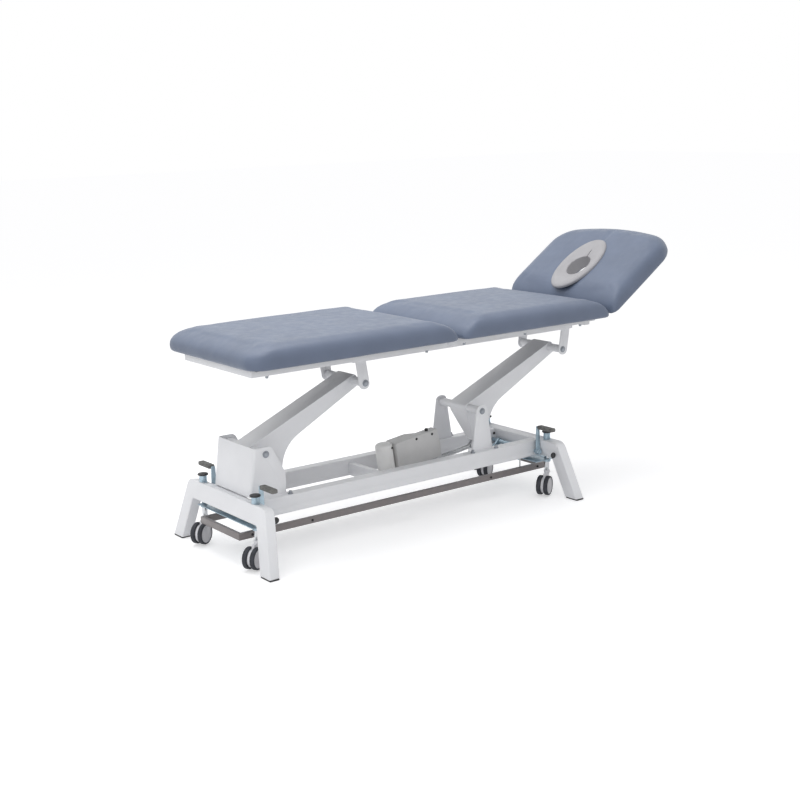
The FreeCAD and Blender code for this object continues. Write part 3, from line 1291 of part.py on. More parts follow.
def wheel_disc(name):
    """A wheel body turned about Z with its covered side up: a rim lip, a groove and a domed cover."""
    disc = body(name + "_disc")
    flank = sketch(disc, name + "_disc_flank", "XZ")
    bore = "(axle_radius + running_fit)"
    lip = "(" + HUB + " - disc_lip)"
    outline(flank, [(bore, "disc_gap"), (HUB, "disc_gap"), (HUB, "wheel_width - disc_gap"),
                    (lip, "wheel_width - disc_gap"), (lip + " - 1", "wheel_width - disc_gap - disc_groove"),
                    (lip + " - 3", "wheel_width - disc_gap - disc_groove"), ("disc_flat", "wheel_width"),
                    ("0", "wheel_width"), ("0", "wheel_width - axle_cover"), (bore, "wheel_width - axle_cover")])
    turned(disc, flank)
    round_edges(disc, name + "_disc_dome", "disc_flat", lambda edge: circled(edge, "disc_flat"))
    return disc


def tyre(name):
    """A tyre turned about Z with rounded shoulders."""
    ring = body(name + "_tyre")
    flank = sketch(ring, name + "_tyre_flank", "XZ")
    rectangle(flank, (HUB, "wheel_radius"), ("0", "wheel_width"))
    turned(ring, flank)
    round_edges(ring, name + "_tyre_shoulders", "tyre_round", lambda edge: circled(edge, "wheel_radius"))
    return ring


def castor(end, side):
    """A twin-wheel castor: hood and axle, two discs and two tyres, trailing its stem."""
    label = end + ("_near" if side < 0 else "_far")
    x = END_X[end]("stem_out")
    y = str(side) + " * stem_side"
    turn = FreeCAD.Rotation(AXIS_Z, value("castor_turn"))
    half_gap = "(wheel_gap / 2)"
    neck = rod(label + "_neck", "stem_radius + 2", "Z", "stem_low - 12", "stem_low - 0.3")
    hood_round = rod(label + "_hood_round", HUB, "Y", "1 - " + half_gap, half_gap + " - 1", "trail", AXLE_Z)
    hood_head = block(label + "_hood_head", ("0 - stem_radius - 2", "trail"), ("1 - " + half_gap, half_gap + " - 1"),
                      (AXLE_Z + " + 10", "stem_low - 10"))
    axle_end = "(wheel_width + " + half_gap + " - axle_cover - 0.5)"
    axle = rod(label + "_axle", "axle_radius", "Y", "-" + axle_end, axle_end, "trail", AXLE_Z)
    hood = join(label + "_hood", [neck, hood_round, hood_head, axle])
    node(place(hood, x, y, turn=turn), label + "_castor_fork")
    discs = []
    tyres = []
    for hand in (-1, 1):
        outward = FreeCAD.Rotation(AXIS_Z, AXIS_Y * hand)
        seat = ("trail", str(hand) + " * " + half_gap, AXLE_Z)
        discs.append(place(wheel_disc(label + str(hand)), *seat, turn=outward))
        tyres.append(place(tyre(label + str(hand)), *seat, turn=outward))
    node(place(group(label + "_discs", discs), x, y, turn=turn), label + "_wheels")
    node(place(group(label + "_tyre_pair", tyres), x, y, turn=turn), label + "_tyres")


def pedal_pad(name, side):
    """A rubber pad with rounded corners and edges, before the lever's tread is let into it."""
    outer = body(name + "_pad")
    plan = sketch(outer, name + "_pad_plan", "XY")
    root = "(lever_side + lever_thick + pad_start)"
    tip = "(lever_side + lever_thick + pedal_length)"
    rectangle(plan, ("0 - pedal_width / 2", "pedal_width / 2"), (root, tip) if side > 0 else ("-" + tip, "-" + root))
    pad(outer, plan, "pedal_thick")
    round_edges(outer, name + "_pad_corners", "pedal_corner", lambda edge: along(edge, AXIS_Z))
    round_edges(outer, name + "_pad_edges", "pedal_edge", lambda edge: not along(edge, AXIS_Z))
    return outer


def pedals(end):
    """Cross shaft with two cams and two foot levers, and the rubber pads on them."""
    x = END_X[end]("shaft_out")
    inward = 1 if end == "foot" else -1
    half = "(lever_side + lever_thick + 1)"
    shaft = rod(end + "_pedal_shaft_bar", "shaft_radius", "Y", "-" + half, half, x, "shaft_height")
    parts = [shaft]
    pads = []
    for side in (-1, 1):
        name = end + "_pedal" + str(side)
        lever = body(name + "_lever")
        flank = sketch(lever, name + "_lever_flank", "XZ", str(-side) + " * (lever_side + lever_thick / 2)")
        outline(flank, [("0 - lever_root / 2", "shaft_height"), ("lever_root / 2", "shaft_height"),
                        ("lever_width / 2", "lever_height"), ("0 - lever_width / 2", "lever_height")])
        pad(lever, flank, "lever_thick", both=True)
        parts.append(place(lever, x))
        boss = ("(lever_side - 3)", "(lever_side + lever_thick + boss_length)")
        boss = boss if side > 0 else ("-" + boss[1], "-" + boss[0])
        parts.append(rod(name + "_boss", "pedal_boss", "Y", *boss, x, "shaft_height"))
        root = "(lever_side + lever_thick / 2)"
        tip = "(lever_side + lever_thick / 2 + pedal_length - 3)"
        tread = (root, tip) if side > 0 else ("-" + tip, "-" + root)
        parts.append(block(name + "_tread", (x + " - lever_width / 2 + 3", x + " + lever_width / 2 - 3"),
                           tread, ("lever_height - lever_thick", "lever_height")))
        outer = pedal_pad(name, side)
        place(outer, x, "0", "lever_height - lever_thick / 2 - pedal_thick / 2")
        inner = block(name + "_pad_slot", (x + " - lever_width / 2 + 3", x + " + lever_width / 2 - 3"),
                      tread, ("lever_height - lever_thick", "lever_height"))
        pads.append(cut(name + "_pad_cut", outer, [inner]))
        cam_y = str(side) + " * cam_side"
        cam = body(name + "_cam")
        flank = sketch(cam, name + "_cam_flank", "XZ")
        outline(flank, [("0", "0 - shaft_radius * 1.5"), ("cam_reach", "0 - cam_round"), ("cam_reach", "cam_round"),
                        ("0", "shaft_radius * 1.5")])
        circle_sketch = sketch(cam, name + "_cam_tip", "XZ")
        circle(circle_sketch, "cam_reach", "0", "cam_round")
        boss = sketch(cam, name + "_cam_boss", "XZ")
        circle(boss, "0", "0", "shaft_radius * 1.5")
        for drawing in (flank, circle_sketch, boss):
            pad(cam, drawing, "cam_width", both=True)
        angle = value("cam_angle") if inward > 0 else 180 - value("cam_angle")
        parts.append(place(cam, x, cam_y, "shaft_height", turn=FreeCAD.Rotation(AXIS_Y, angle)))
    node(join(end + "_pedal_shaft_whole", parts), end + "_pedal_shaft")
    node(group(end + "_pads", pads), end + "_pedal_pads")


for end in ("foot", "head"):
    portal(end)
shoes()
rail(-1, "near_rail")
rail(1, "far_rail")
foot_tower()
head_tower_cheek(-1, "head_tower_near")
head_tower_cheek(1, "head_tower_far")
lower_shafts()
drive_mount()
for end in ("foot", "head"):
    lift_arm(end)
    arm_tubes(end)
head_lever()
push_rod()
drive_tube()
motor_housing()
control_box()
main_frame()
lift_lugs()
upper_shafts()
hinge_pins()
leg_frame()
leg_section()
mid_section()
head_section()
head_frame()
gas_spring("head_spring", HINGE_X, "head_spring_reach", "head_spring_fixed",
           "head_rest_angle - head_spring_moving", "head_spring_side")
gas_spring("leg_spring", SEAT_X, "leg_spring_reach", "leg_spring_fixed", "180 + leg_spring_moving", "leg_spring_side")
control_ring()
for end in ("foot", "head"):
    carriage(end)
    pedals(end)
    for side in (-1, 1):
        castor(end, side)

doc.recompute()
for thing in doc.Objects:
    if "Invalid" in thing.State or "Error" in thing.State:
        raise ValueError(thing.Name + " failed")
for thing in nodes:
    if thing.Shape.isNull() or not thing.Shape.isValid():
        raise ValueError(thing.Label + " is not a sound shape")

os.makedirs("parts", exist_ok=True)
for thing in nodes:
    thing.Shape.exportStep("parts/" + thing.Label + ".step")
print(len(nodes), "sub-parts written")
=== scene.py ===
import json
import math

import bmesh
import bpy
from mathutils import Matrix, Vector, noise


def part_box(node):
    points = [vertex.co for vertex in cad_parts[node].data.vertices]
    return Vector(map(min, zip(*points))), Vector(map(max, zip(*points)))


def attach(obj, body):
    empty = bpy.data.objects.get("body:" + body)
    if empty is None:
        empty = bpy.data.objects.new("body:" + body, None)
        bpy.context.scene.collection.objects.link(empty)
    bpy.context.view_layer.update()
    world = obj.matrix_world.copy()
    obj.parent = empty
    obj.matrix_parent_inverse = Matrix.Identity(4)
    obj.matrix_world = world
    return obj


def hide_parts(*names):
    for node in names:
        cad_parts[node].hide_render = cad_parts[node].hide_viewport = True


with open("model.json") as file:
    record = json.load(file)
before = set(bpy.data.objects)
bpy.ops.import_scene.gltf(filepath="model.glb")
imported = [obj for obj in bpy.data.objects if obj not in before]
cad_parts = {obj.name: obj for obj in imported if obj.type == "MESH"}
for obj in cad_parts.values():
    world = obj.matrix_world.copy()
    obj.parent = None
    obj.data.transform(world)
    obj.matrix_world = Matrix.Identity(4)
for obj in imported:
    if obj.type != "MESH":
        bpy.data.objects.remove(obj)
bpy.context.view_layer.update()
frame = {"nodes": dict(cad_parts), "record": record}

rail_low, rail_high = [Vector(corner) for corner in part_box("near_rail")]
BASE_MIDDLE = (rail_low.x + rail_high.x) / 2
SEAT_HINGE = Vector((BASE_MIDDLE + 0.151, 0.0, 0.712))
HEAD_HINGE = Vector((BASE_MIDDLE + 0.938, 0.0, 0.712))
HEAD_TURN = Matrix.Translation(HEAD_HINGE) @ Matrix.Rotation(-math.radians(34.0), 4, "Y")
node_body = {row: body for body, rows in frame["record"]["behaviour"]["bodies"].items() for row in rows}
collection = bpy.context.scene.collection


# Finishes

def linear(red, green, blue):
    """A colour given as 0 to 255 screen values."""
    tones = [value / 255 for value in (red, green, blue)]
    return tuple(t / 12.92 if t <= 0.04045 else ((t + 0.055) / 1.055) ** 2.4 for t in tones) + (1.0,)


def shade(colour, factor):
    return tuple(min(1.0, channel * factor) for channel in colour[:3]) + (1.0,)


class Finish:
    """A material on the piece's own coordinates, with helpers for its nodes."""

    def __init__(self, name, colour, roughness=0.5, metallic=0.0, **sockets):
        self.material = bpy.data.materials.new(name)
        self.material.use_nodes = True
        self.tree = self.material.node_tree
        self.shader = self.tree.nodes["Principled BSDF"]
        self.place = self.tree.nodes.new("ShaderNodeTexCoord").outputs["Object"]
        self.shader.inputs["Base Color"].default_value = colour
        self.shader.inputs["Roughness"].default_value = roughness
        self.shader.inputs["Metallic"].default_value = metallic
        for socket, value in sockets.items():
            self.shader.inputs[socket.replace("_", " ")].default_value = value

    def add(self, kind, **settings):
        node = self.tree.nodes.new("ShaderNode" + kind)
        for name, value in settings.items():
            setattr(node, name, value)
        return node

    def link(self, output, target):
        self.tree.links.new(output, target)

    def stretched(self, scale):
        mapping = self.add("Mapping")
        mapping.inputs["Scale"].default_value = scale
        self.link(self.place, mapping.inputs["Vector"])
        return mapping.outputs["Vector"]

    def cloud(self, scale, detail=3.0, place=None, roughness=0.5):
        grain = self.add("TexNoise")
        grain.inputs["Scale"].default_value = scale
        grain.inputs["Detail"].default_value = detail
        grain.inputs["Roughness"].default_value = roughness
        self.link(place or self.place, grain.inputs["Vector"])
        return grain.outputs["Fac"]

    def ramp(self, source, low, high, start=0.3, stop=0.7):
        ramp = self.add("ValToRGB")
        ramp.color_ramp.elements[0].position = start
        ramp.color_ramp.elements[1].position = stop
        ramp.color_ramp.elements[0].color = low
        ramp.color_ramp.elements[1].color = high
        self.link(source, ramp.inputs["Fac"])
        return ramp.outputs["Color"]

    def levels(self, source, low, high, start=0.3, stop=0.7):
        scale = self.add("MapRange")
        scale.inputs["From Min"].default_value = start
        scale.inputs["From Max"].default_value = stop
        scale.inputs["To Min"].default_value = low
        scale.inputs["To Max"].default_value = high
        self.link(source, scale.inputs["Value"])
        return scale.outputs["Result"]

    def bump(self, source, distance, strength=1.0):
        bump = self.add("Bump")
        bump.inputs["Distance"].default_value = distance
        bump.inputs["Strength"].default_value = strength
        self.link(source, bump.inputs["Height"])
        if self.shader.inputs["Normal"].links:
            self.link(self.shader.inputs["Normal"].links[0].from_socket, bump.inputs["Normal"])
        self.link(bump.outputs["Normal"], self.shader.inputs["Normal"])
        return self

    def tint(self, source, low, high, start=0.3, stop=0.7):
        self.link(self.ramp(source, low, high, start, stop), self.shader.inputs["Base Color"])
        return self

    def gloss(self, source, low, high, start=0.3, stop=0.7):
        self.link(self.levels(source, low, high, start, stop), self.shader.inputs["Roughness"])
        return self


def powder_coat(name, colour, roughness=0.38):
    """Stoved powder coating: a fine orange peel, faint clouding and a few dull handling marks."""
    finish = Finish(name, colour, roughness, Coat_Weight=0.12, Coat_Roughness=0.25)
    finish.tint(finish.cloud(7.0, 4.0), shade(colour, 0.965), shade(colour, 1.02))
    finish.gloss(finish.cloud(26.0, 5.0), roughness - 0.06, roughness + 0.10)
    finish.bump(finish.cloud(620.0, 2.0), 0.00006, 0.5)
    return finish.material


def upholstery_vinyl(name, colour):
    """Soft vinyl cover: pebbled grain, faint mottling and a satin bloom."""
    finish = Finish(name, colour, 0.46, Sheen_Weight=0.10, Sheen_Roughness=0.5, Specular_IOR_Level=0.42)
    finish.tint(finish.cloud(9.0, 5.0), shade(colour, 0.93), shade(colour, 1.06))
    finish.gloss(finish.cloud(34.0, 4.0), 0.40, 0.54)
    pebbles = finish.add("TexVoronoi", feature="SMOOTH_F1")
    pebbles.inputs["Scale"].default_value = 760.0
    finish.link(finish.place, pebbles.inputs["Vector"])
    finish.bump(pebbles.outputs["Distance"], 0.00016, 0.55)
    finish.bump(finish.cloud(190.0, 3.0), 0.00012, 0.35)
    finish.bump(finish.cloud(11.0, 2.0), 0.0006, 0.35)
    return finish.material


def drawn_steel(name, colour, roughness=0.28, stretch=(4.0, 160.0, 160.0)):
    """Bright steel with fine lines along its length."""
    finish = Finish(name, colour, roughness, 1.0)
    lines = finish.cloud(9.0, 4.0, finish.stretched(stretch))
    finish.gloss(lines, roughness - 0.07, roughness + 0.12)
    finish.tint(finish.cloud(16.0, 4.0), shade(colour, 0.88), shade(colour, 1.05))
    finish.bump(lines, 0.00003, 0.5)
    return finish.material


def zinc_plate(name, colour):
    """Blue-passivated zinc: a cloudy, slightly uneven tint over pressed steel."""
    finish = Finish(name, colour, 0.36, 0.65)
    finish.tint(finish.cloud(38.0, 6.0), shade(colour, 0.82), shade(colour, 1.12))
    finish.gloss(finish.cloud(70.0, 5.0), 0.28, 0.48)
    finish.bump(finish.cloud(420.0, 3.0), 0.00005, 0.5)
    return finish.material


def moulded_plastic(name, colour, roughness=0.5, grain=420.0, depth=0.00008):
    """Spark-eroded moulding texture with very slight shade changes."""
    finish = Finish(name, colour, roughness, Specular_IOR_Level=0.45)
    finish.tint(finish.cloud(12.0, 4.0), shade(colour, 0.94), shade(colour, 1.05))
    finish.gloss(finish.cloud(55.0, 4.0), roughness - 0.07, roughness + 0.09)
    finish.bump(finish.cloud(grain, 2.0), depth, 0.6)
    return finish.material


def moulded_rubber(name, colour, roughness=0.72):
    finish = Finish(name, colour, roughness, Specular_IOR_Level=0.3)
    finish.tint(finish.cloud(46.0, 6.0), shade(colour, 0.75), shade(colour, 1.35))
    finish.gloss(finish.cloud(80.0, 5.0), roughness - 0.12, roughness + 0.12)
    finish.bump(finish.cloud(520.0, 4.0), 0.00014, 0.6)
    return finish.material


def dust_cloth(name, colour):
    """Black spunbond cloth stapled under the upholstery."""
    finish = Finish(name, colour, 0.9, Sheen_Weight=0.25)
    finish.tint(finish.cloud(300.0, 6.0), shade(colour, 0.7), shade(colour, 1.5))
    finish.bump(finish.cloud(900.0, 5.0), 0.0002, 0.7)
    return finish.material


WHITE = linear(236, 237, 240)
coat_white = powder_coat("white_powder_coat", WHITE)
coat_ring = powder_coat("taupe_powder_coat", linear(128, 122, 122), 0.42)
vinyl = upholstery_vinyl("blue_grey_vinyl", linear(101, 112, 133))
steel = drawn_steel("drawn_steel", linear(186, 188, 190))
chrome = drawn_steel("polished_steel", linear(205, 207, 210), 0.14, (30.0, 30.0, 200.0))
zinc = zinc_plate("blue_zinc", linear(168, 188, 200))
bright_zinc = zinc_plate("bright_zinc", linear(150, 155, 162))
box_plastic = moulded_plastic("grey_housing_plastic", linear(206, 206, 206), 0.52)
motor_plastic = moulded_plastic("pale_motor_plastic", linear(234, 234, 233), 0.46)
insert_plastic = moulded_plastic("face_insert_foam_skin", linear(164, 163, 166), 0.58, 260.0, 0.00012)
wheel_plastic = moulded_plastic("wheel_cover_plastic", linear(205, 204, 207), 0.4)
hood_plastic = moulded_plastic("castor_hood_plastic", linear(226, 226, 230), 0.36)
black_plastic = moulded_plastic("black_plastic", linear(42, 42, 44), 0.48)
pad_rubber = moulded_rubber("pedal_rubber", linear(112, 112, 110), 0.7)
tyre_rubber = moulded_rubber("tyre_rubber", linear(58, 60, 66), 0.62)
foot_rubber = moulded_rubber("foot_rubber", linear(62, 62, 64))
underside_cloth = dust_cloth("underside_cloth", linear(46, 46, 48))
cylinder_paint = powder_coat("black_cylinder_paint", linear(36, 36, 38), 0.3)


# Mesh helpers

def new_object(name, shape, material):
    """Makes a mesh object at the origin from a bmesh."""
    mesh = bpy.data.meshes.new(name)
    shape.to_mesh(mesh)
    shape.free()
    mesh.materials.append(material)
    piece = bpy.data.objects.new(name, mesh)
    collection.objects.link(piece)
    return piece


def evaluate(piece):
    """Applies the piece's modifiers to its mesh."""
    bpy.context.view_layer.update()
    graph = bpy.context.evaluated_depsgraph_get()
    mesh = bpy.data.meshes.new_from_object(piece.evaluated_get(graph))
    piece.modifiers.clear()
    piece.data = mesh
    return piece


SHARP = math.radians(38.0)


def smooth_faces(piece, degrees=32.0):
    for polygon in piece.data.polygons:
        polygon.use_smooth = True
    piece.data.set_sharp_from_angle(angle=math.radians(degrees))


def merged_copy(node):
    """A bmesh of a CAD node with its loose triangles welded and its flat faces joined."""
    shape = bmesh.new()
    shape.from_mesh(frame["nodes"][node].data)
    bmesh.ops.remove_doubles(shape, verts=shape.verts, dist=0.000005)
    bmesh.ops.dissolve_limit(shape, angle_limit=math.radians(0.6), verts=shape.verts, edges=shape.edges,
                             delimit={"NORMAL"})
    return shape


def softened(node, material, width, parts=()):
    """A copy of a CAD node with its sharp edges eased, standing for that node.

    parts gives further materials, each with a test of a face's middle."""
    piece = new_object(node + "_finished", merged_copy(node), material)
    bevel = piece.modifiers.new("eased_edges", "BEVEL")
    bevel.width = width
    bevel.segments = 2
    bevel.limit_method = "ANGLE"
    bevel.angle_limit = SHARP
    bevel.use_clamp_overlap = False
    evaluate(piece)
    smooth_faces(piece)
    for index, (other, test) in enumerate(parts, start=1):
        piece.data.materials.append(other)
        for polygon in piece.data.polygons:
            if test(polygon.center):
                polygon.material_index = index
    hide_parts(node)
    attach(piece, node_body[node])


def turned_shape(profile, steps, centre, axis):
    """A closed turned solid from (radius, height) pairs along an axis."""
    shape = bmesh.new()
    rings = []
    for radius, height in profile:
        if radius < 1e-7:
            rings.append([shape.verts.new((0.0, 0.0, height))])
            continue
        rings.append([shape.verts.new((radius * math.cos(2 * math.pi * k / steps),
                                       radius * math.sin(2 * math.pi * k / steps), height)) for k in range(steps)])
    for lower, upper in zip(rings, rings[1:]):
        for k in range(steps):
            j = (k + 1) % steps
            corners = [lower[k % len(lower)], lower[j % len(lower)], upper[j % len(upper)], upper[k % len(upper)]]
            corners = list(dict.fromkeys(corners))
            if len(corners) > 2:
                shape.faces.new(corners)
    bmesh.ops.recalc_face_normals(shape, faces=shape.faces)
    turn = Vector((0, 0, 1)).rotation_difference(Vector(axis)).to_matrix().to_4x4()
    bmesh.ops.transform(shape, matrix=Matrix.Translation(centre) @ turn, verts=shape.verts)
    return shape


def rounded_block(low, high, edge, segments):
    """A block between two corners with all its edges rounded."""
    shape = bmesh.new()
    bmesh.ops.create_cube(shape, size=1.0)
    size = Vector(high) - Vector(low)
    bmesh.ops.scale(shape, vec=size, verts=shape.verts)
    bmesh.ops.translate(shape, vec=(Vector(low) + Vector(high)) / 2, verts=shape.verts)
    bmesh.ops.bevel(shape, geom=list(shape.edges), offset=edge, segments=segments, affect="EDGES", profile=0.5)
    return shape


def join_shapes(shapes):
    whole = bmesh.new()
    for shape in shapes:
        mesh = bpy.data.meshes.new("part")
        shape.to_mesh(mesh)
        shape.free()
        whole.from_mesh(mesh)
        bpy.data.meshes.remove(mesh)
    return whole


# Upholstery

END_ROLL = 0.108
SEAM_ROLL = 0.078
END_DROP = 0.047
SIDE_ROLL = 0.040
SIDE_DROP = 0.041


def corner_arc(centre, radii, start, steps):
    """A quarter of an ellipse about a centre, in order round the outline."""
    return [Vector((centre[0] + radii[0] * math.cos(start + math.pi / 2 * k / steps),
                    centre[1] + radii[1] * math.sin(start + math.pi / 2 * k / steps))) for k in range(steps + 1)]


def straight(start, stop, steps):
    return [start.lerp(stop, k / steps) for k in range(1, steps)]


def pad_outline(ends, half, rounds, bow):
    """Plan outline of a section: elliptical corners, and a head end that may follow a shallow arc."""
    left, right = ends
    (left_x, left_y), (right_x, right_y) = rounds
    arcs = [corner_arc((right - right_x, half - right_y), (right_x, right_y), 0.0, 10),
            corner_arc((left + left_x, half - left_y), (left_x, left_y), math.pi / 2, 10),
            corner_arc((left + left_x, left_y - half), (left_x, left_y), math.pi, 10),
            corner_arc((right - right_x, right_y - half), (right_x, right_y), math.pi * 1.5, 10)]
    points = []
    for index, arc in enumerate(arcs):
        points += arc + straight(arc[-1], arcs[(index + 1) % 4][0], 12)
    if bow:
        for point in points:
            along = max(0.0, (point.x - left) / (right - left))
            point.x -= point.y ** 2 / (2 * bow) * along ** 2
    return points


def rolled(share):
    """How far a quarter ellipse has turned in at a share of its height."""
    return 1 - math.sqrt(max(0.0, 1 - min(1.0, max(0.0, share)) ** 2))


def pad_form(ends, rolls, half, rounds, low, high, bow):
    """A covered pad before it is filled: rings from the tucked underside over broad shoulders to the top."""
    shape = bmesh.new()
    shoulder = high - END_DROP
    heights = [low, low + 0.003, low + 0.009] + [low + 0.009 + (shoulder - low - 0.009) * k / 3 for k in (1, 2, 3)]
    heights += [shoulder + END_DROP * math.sin(math.pi / 2 * k / 14) for k in range(1, 15)]
    rings = []
    for height in heights:
        tuck = {0: 0.007, 1: 0.002}.get(len(rings), 0.0)
        end_share = rolled((height - shoulder) / END_DROP)
        side = SIDE_ROLL * rolled((height - high + SIDE_DROP) / SIDE_DROP) + tuck
        insets = [roll * end_share + tuck for roll in rolls]
        left, right = ends(height)
        corners = [(max(radius - inset * 0.55, 0.020), max(radius - side * 0.8, 0.020))
                   for radius, inset in zip(rounds, insets)]
        outline = pad_outline((left + insets[0], right - insets[1]), half - side, corners, bow)
        rings.append([shape.verts.new((point.x, point.y, height)) for point in outline])
    count = len(rings[0])
    for lower, upper in zip(rings, rings[1:]):
        for k in range(count):
            shape.faces.new((lower[k], lower[(k + 1) % count], upper[(k + 1) % count], upper[k]))
    shape.faces.new(rings[-1])
    shape.faces.new(list(reversed(rings[0])))
    bmesh.ops.recalc_face_normals(shape, faces=shape.faces)
    return shape


FILLING_PRESSURE = 4.0
SWELLING_LIMIT = 0.006
STAPLED_EDGE = 0.006
FILLING_FRAMES = 20


def fill_pad(piece, voxel, floor_level):
    """Fills the cover with foam: remeshes it, lets it swell under pressure and holds back the swelling."""
    remesh = piece.modifiers.new("even_cloth", "REMESH")
    remesh.mode = "VOXEL"
    remesh.voxel_size = voxel
    evaluate(piece)
    rest = [vertex.co.copy() for vertex in piece.data.vertices]
    held = piece.vertex_groups.new(name="stapled")
    stapled = [vertex.index for vertex in piece.data.vertices if vertex.co.z < floor_level + STAPLED_EDGE]
    held.add(stapled, 1.0, "REPLACE")
    cloth = piece.modifiers.new("filling", "CLOTH")
    cloth.settings.quality = 5
    cloth.settings.mass = 0.4
    cloth.settings.tension_stiffness = 18.0
    cloth.settings.compression_stiffness = 18.0
    cloth.settings.shear_stiffness = 8.0
    cloth.settings.bending_stiffness = 1.6
    cloth.settings.use_pressure = True
    cloth.settings.uniform_pressure_force = FILLING_PRESSURE
    cloth.settings.vertex_group_mass = "stapled"
    cloth.settings.effector_weights.gravity = 0.0
    cloth.collision_settings.use_collision = False
    cloth.point_cache.frame_start = 1
    cloth.point_cache.frame_end = FILLING_FRAMES
    for number in range(1, FILLING_FRAMES + 1):
        bpy.context.scene.frame_set(number)
    graph = bpy.context.evaluated_depsgraph_get()
    filled = piece.evaluated_get(graph).data
    moves = [filled.vertices[index].co - point for index, point in enumerate(rest)]
    piece.modifiers.clear()
    bpy.context.scene.frame_set(1)
    outward = [vertex.normal.copy() for vertex in piece.data.vertices]
    for vertex, start, move, face in zip(piece.data.vertices, rest, moves, outward):
        vertex.co = start + face * min(SWELLING_LIMIT, max(0.0, move.dot(face)))


def even_out(piece, rounds, factor):
    """Draws the cover taut after filling, so the remeshed facets and fine wrinkles disappear."""
    smooth = piece.modifiers.new("taut_cover", "SMOOTH")
    smooth.factor = factor
    smooth.iterations = rounds
    evaluate(piece)


def crown_top(piece, middle, half_length, half, level, rise):
    """Raises the middle of the lying surface and lets the cover ripple very slightly."""
    for vertex in piece.data.vertices:
        across = max(0.0, 1 - (vertex.co.y / half) ** 2)
        along = max(0.0, 1 - ((vertex.co.x - middle) / half_length) ** 4)
        lift = min(1.0, max(0.0, (vertex.co.z - level) / 0.03))
        vertex.co.z += rise * across * along * lift
        vertex.co += vertex.normal * (noise.noise(vertex.co * 7.0) * 0.0007 + noise.noise(vertex.co * 26.0) * 0.00015)


def upholstered(name, nodes, body, ends, rolls, rounds, low, voxel, turn=None, hole=None, bow=None):
    """One covered section: form, filling, crown and the last smoothing."""
    high = low + PAD_HIGH - PAD_LOW
    piece = new_object(name, pad_form(ends, rolls, HALF_PAD, rounds, low, high, bow), vinyl)
    if hole:
        cutter = new_object(name + "_hole", hole, vinyl)
        carve = piece.modifiers.new("hole", "BOOLEAN")
        carve.operation = "DIFFERENCE"
        carve.solver = "EXACT"
        carve.object = cutter
        evaluate(piece)
        bpy.data.objects.remove(cutter)
    fill_pad(piece, voxel, low)
    even_out(piece, 12, 0.5)
    left, right = ends(low)
    crown_top(piece, (left + right) / 2, (right - left) / 2, HALF_PAD, high - 0.034, 0.005)
    cover = piece.modifiers.new("smooth_cover", "SUBSURF")
    cover.levels = 1
    cover.render_levels = 1
    evaluate(piece)
    if turn is not None:
        piece.data.transform(turn)
    for polygon in piece.data.polygons:
        polygon.use_smooth = True
    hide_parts(*nodes)
    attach(piece, body)


SWELL = 0.004
HALF_PAD = 0.325 - SWELL
PAD_LOW = 0.7195
PAD_HIGH = 0.799 - SWELL
SEAM_LEAN = math.tan(math.radians(30.5))
SEAM_GAP = 0.003


def seam_end(hinge_x, sign):
    """Where a section ends beside a hinge, at a height: close at the board and leaning away above it."""
    def end(height):
        return hinge_x + sign * (SEAM_GAP + SWELL + max(0.0, height - PAD_LOW - 0.008) * SEAM_LEAN)
    return end


def oval_prism(along, long_radius, wide_radius, low, high, steps=64):
    shape = bmesh.new()
    rings = [[shape.verts.new((along + long_radius * math.cos(2 * math.pi * k / steps),
                               wide_radius * math.sin(2 * math.pi * k / steps), height)) for k in range(steps)]
             for height in (low, high)]
    for k in range(steps):
        j = (k + 1) % steps
        shape.faces.new((rings[0][k], rings[0][j], rings[1][j], rings[1][k]))
    shape.faces.new(list(reversed(rings[0])))
    shape.faces.new(rings[1])
    return shape


def head_start(height):
    """The head section's seam end, along its own length from the hinge."""
    return SEAM_GAP * 2 + SWELL + max(0.0, height + HEAD_HINGE.z - PAD_LOW - 0.008) * SEAM_LEAN


LEG_FOOT = BASE_MIDDLE - 0.757 + SWELL
leg_seam = seam_end(SEAT_HINGE.x, -1)
mid_seam = seam_end(SEAT_HINGE.x, 1)
mid_far_seam = seam_end(HEAD_HINGE.x, -1)
upholstered("leg_upholstery", ["leg_cushion", "leg_board"], "leg_section", lambda height: (LEG_FOOT, leg_seam(height)),
            (END_ROLL, SEAM_ROLL), (0.070, 0.030), PAD_LOW, 0.0080)
upholstered("mid_upholstery", ["mid_cushion", "mid_board"], "top",
            lambda height: (mid_seam(height), mid_far_seam(height)), (SEAM_ROLL, SEAM_ROLL), (0.030, 0.030), PAD_LOW,
            0.0080)
upholstered("head_upholstery", ["head_cushion", "head_board"], "head_section",
            lambda height: (head_start(height), 0.488 - SWELL), (SEAM_ROLL, 0.062), (0.030, 0.098),
            PAD_LOW - HEAD_HINGE.z, 0.0068, turn=HEAD_TURN,
            hole=oval_prism(0.200, 0.1185 + SWELL, 0.0725 + SWELL, -0.02, 0.15), bow=1.2)


# Rigid pieces keep their CAD shape and get eased edges

